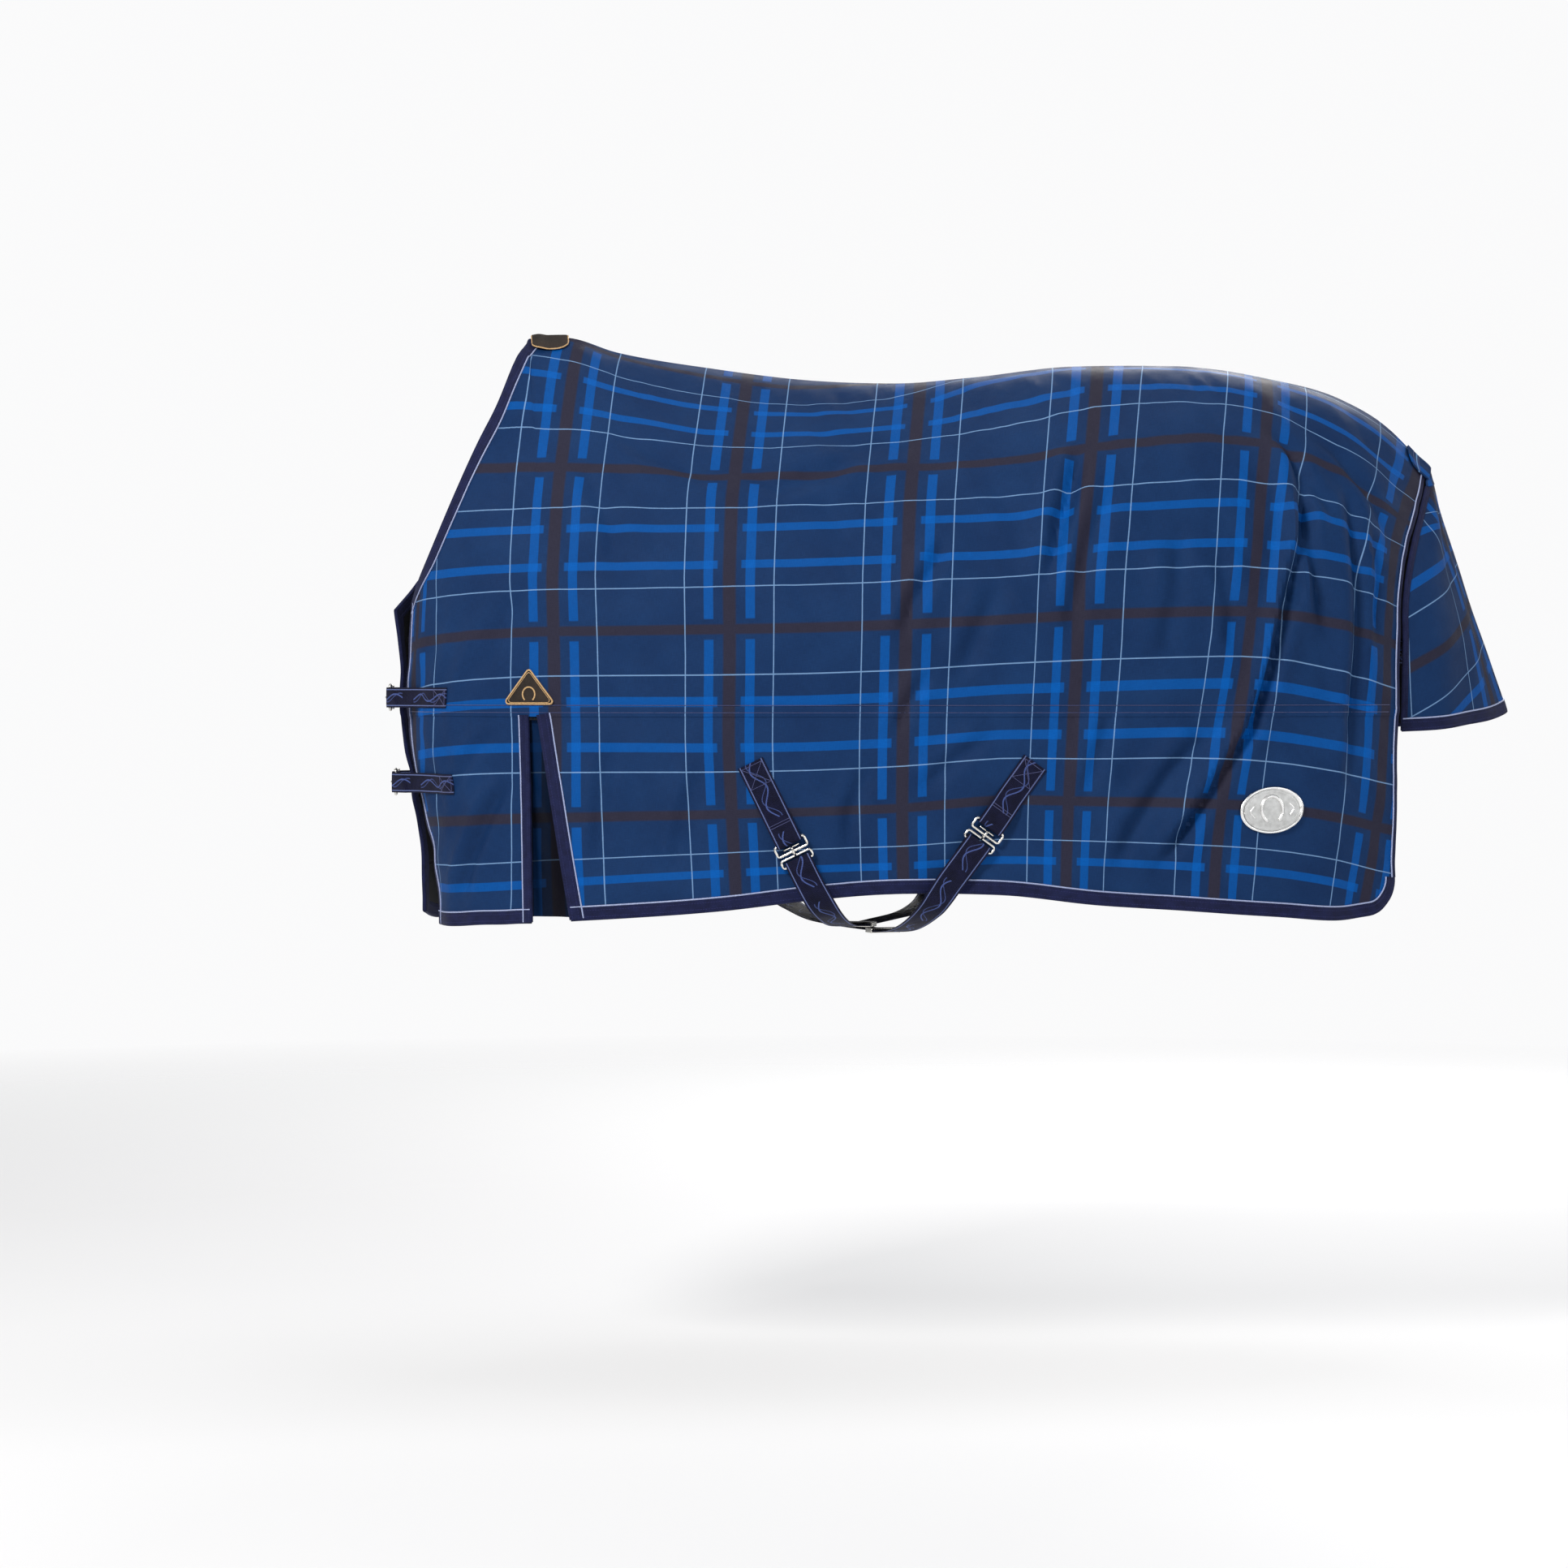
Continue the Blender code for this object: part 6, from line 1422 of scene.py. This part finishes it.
for word, (m, length) in COUPLINGS.items():
    low = 0.0022 - LIFT
    tab = [(0, -length, low), (0, -length * 0.8, low), (0, -length * 0.62, low + 0.0010), (0, -length * 0.44, low + 0.0038), (0, -0.030, low + 0.0074), (0, -0.012, 0.0035)]
    lay = [1, 1, 1, 0.6, 0, 0]
    tab += loop_path(LOOP_R) + [(0, -0.010, -0.0030), (0, -0.022, -0.0014)]
    lay += [0] * (len(tab) - len(lay))
    webbing(f"tab_{word}", moved(m, tab), bar_normals(m, tab), WEB_W, WEB_T, WEB40, tree("shell_back", "shell_side_left"), lay)
    e, w_ = 0.004, WEB_W
    box = [(e, e), (w_ - e, e), (w_ - e, 0.036), (e, 0.036), (e, e)]
    sewn(f"tab_{word}_stitch", f"tab_{word}", [box, [(e, e), (w_ - e, 0.036)], [(w_ - e, e), (e, 0.036)], [(e, length - 0.030), (w_ - e, length - 0.030)], [(e, length - 0.026), (w_ - e, length - 0.026)]])
    slot_plate(f"plate_{word}", WEB_W, m)
    t_hook(f"hook_{word}", WEB_W, m)

BELLY = {
    "front": [(-0.1440, -0.3290, -0.757), (-0.1280, -0.3190, -0.782), (-0.112, -0.285, -0.799), (-0.095, -0.230, -0.8095), (-0.078, -0.180, -0.8130), (-0.0613, -0.130, -0.8136), (-0.0445, -0.080, -0.8142), (-0.014, 0.010, -0.8146),
              (0.036, 0.140, -0.813), (0.070, 0.240, -0.806), (0.090, 0.298, -0.793), (0.106, 0.3290, -0.765), (0.1220, 0.3300, -0.720), (0.150, 0.3210, -0.645), (0.176, 0.3190, -0.575)],
    "rear": [(0.0480, -0.3300, -0.7480), (0.0290, -0.3190, -0.778), (0.012, -0.285, -0.800), (-0.002, -0.230, -0.8150), (-0.0150, -0.180, -0.8218), (-0.0280, -0.130, -0.8226), (-0.0410, -0.080, -0.8234), (-0.0645, 0.010, -0.8242),
             (-0.098, 0.140, -0.8225), (-0.123, 0.238, -0.813), (-0.144, 0.296, -0.799), (-0.161, 0.3270, -0.770), (-0.180, 0.3270, -0.722), (-0.208, 0.3170, -0.645), (-0.234, 0.3130, -0.575)],
}
for word, pts in BELLY.items():
    m = COUPLINGS[word][0]
    y0 = HOOK_BAR
    start = [(0, y0 + 0.026, -0.0026), (0, y0 + 0.012, -0.0046)]
    start += [(0, y0 - q[1], -q[2]) for q in loop_path(LOOP_R_HOOK)]
    start += [(0, y0 + 0.012, 0.0046), (0, y0 + 0.026, 0.0024)]
    a = moved(m, start)
    path = np.concatenate([a[:-1], smooth_line([a[-1]] + pts, 0.022)[0]])
    nn = bar_normals(m, start)[:-1]
    for i in range(len(start) - 1, len(path)):
        t = path[min(i + 1, len(path) - 1)] - path[i - 1]
        nn.append(np.array([0, t[2], -t[1]]) / np.hypot(t[1], t[2]))
    lay = [float(smooth01((p[2] + 0.735) / 0.045)) if p[1] > 0.2 else 0.0 for p in path]
    webbing(f"strap_{word}", path, nn, WEB_W, WEB_T, WEB40, tree("shell_back", "shell_side_right"), lay)
    e = 0.004
    sewn(f"strap_{word}_stitch", f"strap_{word}", [[(e, -e), (WEB_W - e, -e), (WEB_W - e, -0.036), (e, -0.036), (e, -e)], [(e, -e), (WEB_W - e, -0.036)], [(WEB_W - e, -e), (e, -0.036)]])
for name, spec in SLIDES.items():
    slide(name, spec)

# ------------------------------------------------------------------ chest closures
CHEST = {"upper": (-0.476, -0.7600), "lower": (-0.603, -0.7520)}
for word, (z, x) in CHEST.items():
    m = frame_of((x, -0.0270, z), (0, 0, 1), (0, 1, 0), (-1, 0, 0))
    slot_plate(f"chest_plate_{word}", CHEST_WEB_W, m)
    t_hook(f"chest_hook_{word}", CHEST_WEB_W, m)
    outer = moved(m, [(0, -0.010, 0.0036)] + loop_path(LOOP_R) + [(0, -0.009, -0.0034), (0, -0.018, -0.0026)])
    g = DRAPE[-1]
    path, nn, lay = [], [], []
    for uu in (0.150, 0.128, 0.105, 0.082):
        d = g.depth(uu, z)[0]
        path.append(g.at(uu, d, 0.0026)), nn.append(g.normal(uu, d)), lay.append(1.0)
    lay[-1] = 0.6
    bridge = [path[-1], np.array([x - 0.0015, -0.058, z]), outer[0]]
    path = path + [bridge[1]] + list(outer)
    for i in range(4, len(path)):
        a, b = path[i - 1], path[min(i + 1, len(path) - 1)]
        t = (b - a) / np.linalg.norm(b - a)
        nn.append(np.cross(np.array([0, 0, 1.0]), t))
        lay.append(0.0)
    nn = [n if k < 4 or n[0] < 0 or k > 7 else -n for k, n in enumerate(nn)]
    webbing(f"chest_tab_{word}", path, nn, CHEST_WEB_W, WEB_T, WEB30, tree("shell_chest_left", "shell_back", "binding_front_left"), lay)
    e, w_ = 0.0035, CHEST_WEB_W
    sewn(f"chest_tab_{word}_stitch", f"chest_tab_{word}", [[(e, e), (w_ - e, e), (w_ - e, 0.028), (e, 0.028), (e, e)], [(e, e), (w_ - e, 0.028)], [(w_ - e, e), (e, 0.028)]])
    y0 = HOOK_BAR
    start = list(moved(m, [(0, y0 + 0.022, -0.0024), (0, y0 + 0.011, -0.0044)] + [(0, y0 - q[1], -q[2]) for q in loop_path(LOOP_R_HOOK)] + [(0, y0 + 0.011, 0.0046), (0, y0 + 0.024, 0.0016)]))
    g = DRAPE[1]
    on, onn = [], []
    for uu in (0.118, 0.142, 0.165, 0.188):
        d = g.depth(uu, z)[0]
        on.append(g.at(uu, d, 0.0028)), onn.append(g.normal(uu, d))
    straight = [start[-1] + np.array([0.0006 * k, 0.011 * k, 0]) for k in (1, 2, 3, 4)]
    path = start + straight + on
    nn = []
    for i in range(len(path)):
        a, b = path[max(i - 1, 0)], path[min(i + 1, len(path) - 1)]
        t = (b - a) / np.linalg.norm(b - a)
        nn.append(np.cross(np.array([0, 0, 1.0]), t))
    lay = [0.0] * (len(path) - 3) + [1.0] * 3
    webbing(f"chest_strap_{word}", path, nn, CHEST_WEB_W, WEB_T, WEB30, tree("shell_chest_right", "shell_back", "binding_front_right"), lay)
    sewn(f"chest_strap_{word}_stitch", f"chest_strap_{word}", [[(e, -e), (w_ - e, -e), (w_ - e, -0.028), (e, -0.028), (e, -e)]])

# ------------------------------------------------------------------ what each piece stands for, and what it moves with
STANDS = {
    "shell_back": ["back_panel"], "lining_back": ["back_lining"],
    "insert_left": ["gusset_insert_left"], "insert_right": ["gusset_insert_right"],
    "binding_neck": ["neck_binding"], "flap_shell": ["tail_flap"], "flap_lining": ["tail_flap_lining"], "binding_flap_hem": ["tail_flap_binding"],
    "strap_tail": ["tail_strap"], "patch_withers": ["wither_patch"], "patch_left": ["gusset_patch_left"], "patch_right": ["gusset_patch_right"], "badge": ["hip_badge"],
}
for word in SIDES.values():
    for part in ("chest", "side"):
        STANDS[f"shell_{part}_{word}"] = [f"{part}_panel_{word}"]
        STANDS[f"lining_{part}_{word}"] = [f"{part}_lining_{word}"]
    for a, b in (("front", "front_edge"), ("chest_hem", "chest_hem"), ("slot_front", "slot_front"), ("slot_rear", "slot_rear"), ("hem", "hem"), ("rear", "rear_edge")):
        STANDS[f"binding_{a}_{word}"] = [f"{b}_binding_{word}"]
for word in ("front", "rear"):
    STANDS |= {f"tab_{word}": [f"surcingle_tab_{word}"], f"plate_{word}": [f"slot_plate_{word}"], f"hook_{word}": [f"t_hook_{word}"], f"strap_{word}": [f"belly_strap_{word}"], f"belly_slide_{word}": [f"belly_slide_{word}"]}
for word in ("upper", "lower"):
    STANDS |= {f"chest_tab_{word}": [f"chest_tab_{word}"], f"chest_plate_{word}": [f"chest_slot_plate_{word}"], f"chest_hook_{word}": [f"chest_t_hook_{word}"],
               f"chest_strap_{word}": [f"chest_strap_{word}"], f"chest_slide_{word}": [f"chest_slide_{word}"]}
BODIES = {}
for word in ("front", "rear"):
    BODIES |= {f"plate_{word}": f"slot_plate_{word}_body", f"hook_{word}": f"t_hook_{word}_body", f"belly_slide_{word}": f"belly_slide_{word}_body"}
for word in ("upper", "lower"):
    BODIES |= {f"chest_plate_{word}": f"chest_slot_plate_{word}_body", f"chest_hook_{word}": f"chest_t_hook_{word}_body", f"chest_slide_{word}": f"chest_slide_{word}_body"}
FLAP_PIECES = [k for k in PIECES if k.startswith(("flap_shell", "flap_lining", "binding_flap", "piping_flap"))]
for name, o in PIECES.items():
    if name in STANDS:
        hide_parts(*STANDS[name])
    if name in FLAP_PIECES:
        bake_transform(o)
    else:
        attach(o, BODIES.get(name, "rug"))
    if "stitch" in name or "edge" in name or "emboss" in name or name.startswith(("seam", "piping")):
        continue


# ------------------------------------------------------------------ light, floor and camera
def area(name, loc, target, size, power, colour=(1, 1, 1), size_y=None):
    l = bpy.data.lights.new(name, "AREA")
    l.energy, l.size, l.color = power, size, colour
    if size_y:
        l.shape, l.size_y = "RECTANGLE", size_y
    o = bpy.data.objects.new(name, l)
    o.location = loc
    o.rotation_euler = (Vector(target) - Vector(loc)).to_track_quat("-Z", "Y").to_euler()
    o.visible_camera = False
    bpy.context.scene.collection.objects.link(o)
    return o


def backdrop():
    """Pale round floor that fades into the white surround at its rim."""
    n = Nodes("studio_floor")
    r = n.math("MULTIPLY", n.noise(n.object_coords(), 3.0, 2), 0.04)
    mat = n.set(color=(0.84, 0.84, 0.845), rough=n.math("ADD", r, 0.66), spec=0.2)
    geo = n.new("ShaderNodeNewGeometry")
    flat = n.new("ShaderNodeVectorMath", operation="MULTIPLY")
    n.put(flat.inputs[0], geo.outputs["Position"])
    flat.inputs[1].default_value = (1, 1, 0)
    dist = n.new("ShaderNodeVectorMath", operation="LENGTH")
    n.put(dist.inputs[0], flat.outputs[0])
    clear, blend = n.new("ShaderNodeBsdfTransparent"), n.new("ShaderNodeMixShader")
    out = next(q for q in n.t.nodes if q.type == "OUTPUT_MATERIAL")
    n.put(blend.inputs[0], n.ramp(n.math("DIVIDE", dist.outputs["Value"], 6.0), 0.40, 0.97, 0, 1))
    n.put(blend.inputs[1], n.b.outputs[0])
    n.put(blend.inputs[2], clear.outputs[0])
    n.put(out.inputs[0], blend.outputs[0])
    verts, faces = [(0.0, 0.0, -1.50)], []
    for k in range(1, 13):
        verts += [(0.5 * k * math.cos(2 * math.pi * i / 96), 0.5 * k * math.sin(2 * math.pi * i / 96), -1.50) for i in range(96)]
    faces = [(0, 1 + i, 1 + (i + 1) % 96) for i in range(96)]
    for k in range(11):
        faces += [(1 + 96 * k + i, 1 + 96 * (k + 1) + i, 1 + 96 * (k + 1) + (i + 1) % 96, 1 + 96 * k + (i + 1) % 96) for i in range(96)]
    me = bpy.data.meshes.new("studio_floor")
    me.from_pydata(verts, [], faces)
    me.materials.append(mat)
    me.shade_smooth()
    o = bpy.data.objects.new("studio_floor", me)
    bpy.context.scene.collection.objects.link(o)
    o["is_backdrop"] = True


# white surround for the camera, soft and much dimmer for everything it lights
world = bpy.data.worlds.new("studio")
world.use_nodes = True
wt = world.node_tree
dim = wt.nodes["Background"]
dim.inputs[0].default_value, dim.inputs[1].default_value = (0.82, 0.83, 0.85, 1), 0.34
bright, path, both = wt.nodes.new("ShaderNodeBackground"), wt.nodes.new("ShaderNodeLightPath"), wt.nodes.new("ShaderNodeMixShader")
bright.inputs[0].default_value, bright.inputs[1].default_value = (0.96, 0.96, 0.965, 1), 1.0
wt.links.new(path.outputs["Is Camera Ray"], both.inputs[0])
wt.links.new(dim.outputs[0], both.inputs[1])
wt.links.new(bright.outputs[0], both.inputs[2])
wt.links.new(both.outputs[0], next(q for q in wt.nodes if q.type == "OUTPUT_WORLD").inputs[0])
bpy.context.scene.world = world
bpy.context.scene.view_settings.view_transform = "Standard"
backdrop()
area("key", (-3.0, -4.2, 2.9), (0.0, -0.2, -0.4), 1.5, 265, (1.0, 0.985, 0.965))
area("fill", (3.8, -4.0, 0.6), (0.2, 0, -0.4), 3.0, 50, (0.97, 0.985, 1.0))
area("top", (0.3, 0.2, 3.0), (0.1, 0, -0.2), 2.6, 32, (1, 1, 1))
area("low", (0.0, -4.8, -0.9), (0, 0, -0.6), 2.6, 26, (1, 1, 1))
area("far_key", (1.8, 5.0, 1.6), (0.0, 0.2, -0.4), 2.4, 190, (1.0, 0.99, 0.98))
area("head_wash", (-5.2, 0.8, 0.9), (-0.6, 0, -0.4), 2.2, 40, (1, 1, 1))
area("tail_wash", (5.2, 1.0, 1.0), (0.7, 0, -0.4), 2.2, 48, (1, 1, 1))

cam = bpy.data.cameras.new("camera")
cam.lens, cam.sensor_width = 93.62, 36.0
cam.clip_end = 60
shot = bpy.data.objects.new("camera", cam)
right, up, fwd = Vector((0.9975641, -0.0697565, 0.0)), Vector((0.0018260, 0.0261132, 0.9996573)), Vector((0.0697326, 0.9972222, -0.0261770))
m = Matrix((right, up, -fwd)).transposed().to_4x4()
m.translation = Vector((-0.597342, -6.182777, -0.445703))
shot.matrix_world = m
bpy.context.scene.collection.objects.link(shot)
bpy.context.scene.camera = shot

low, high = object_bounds()
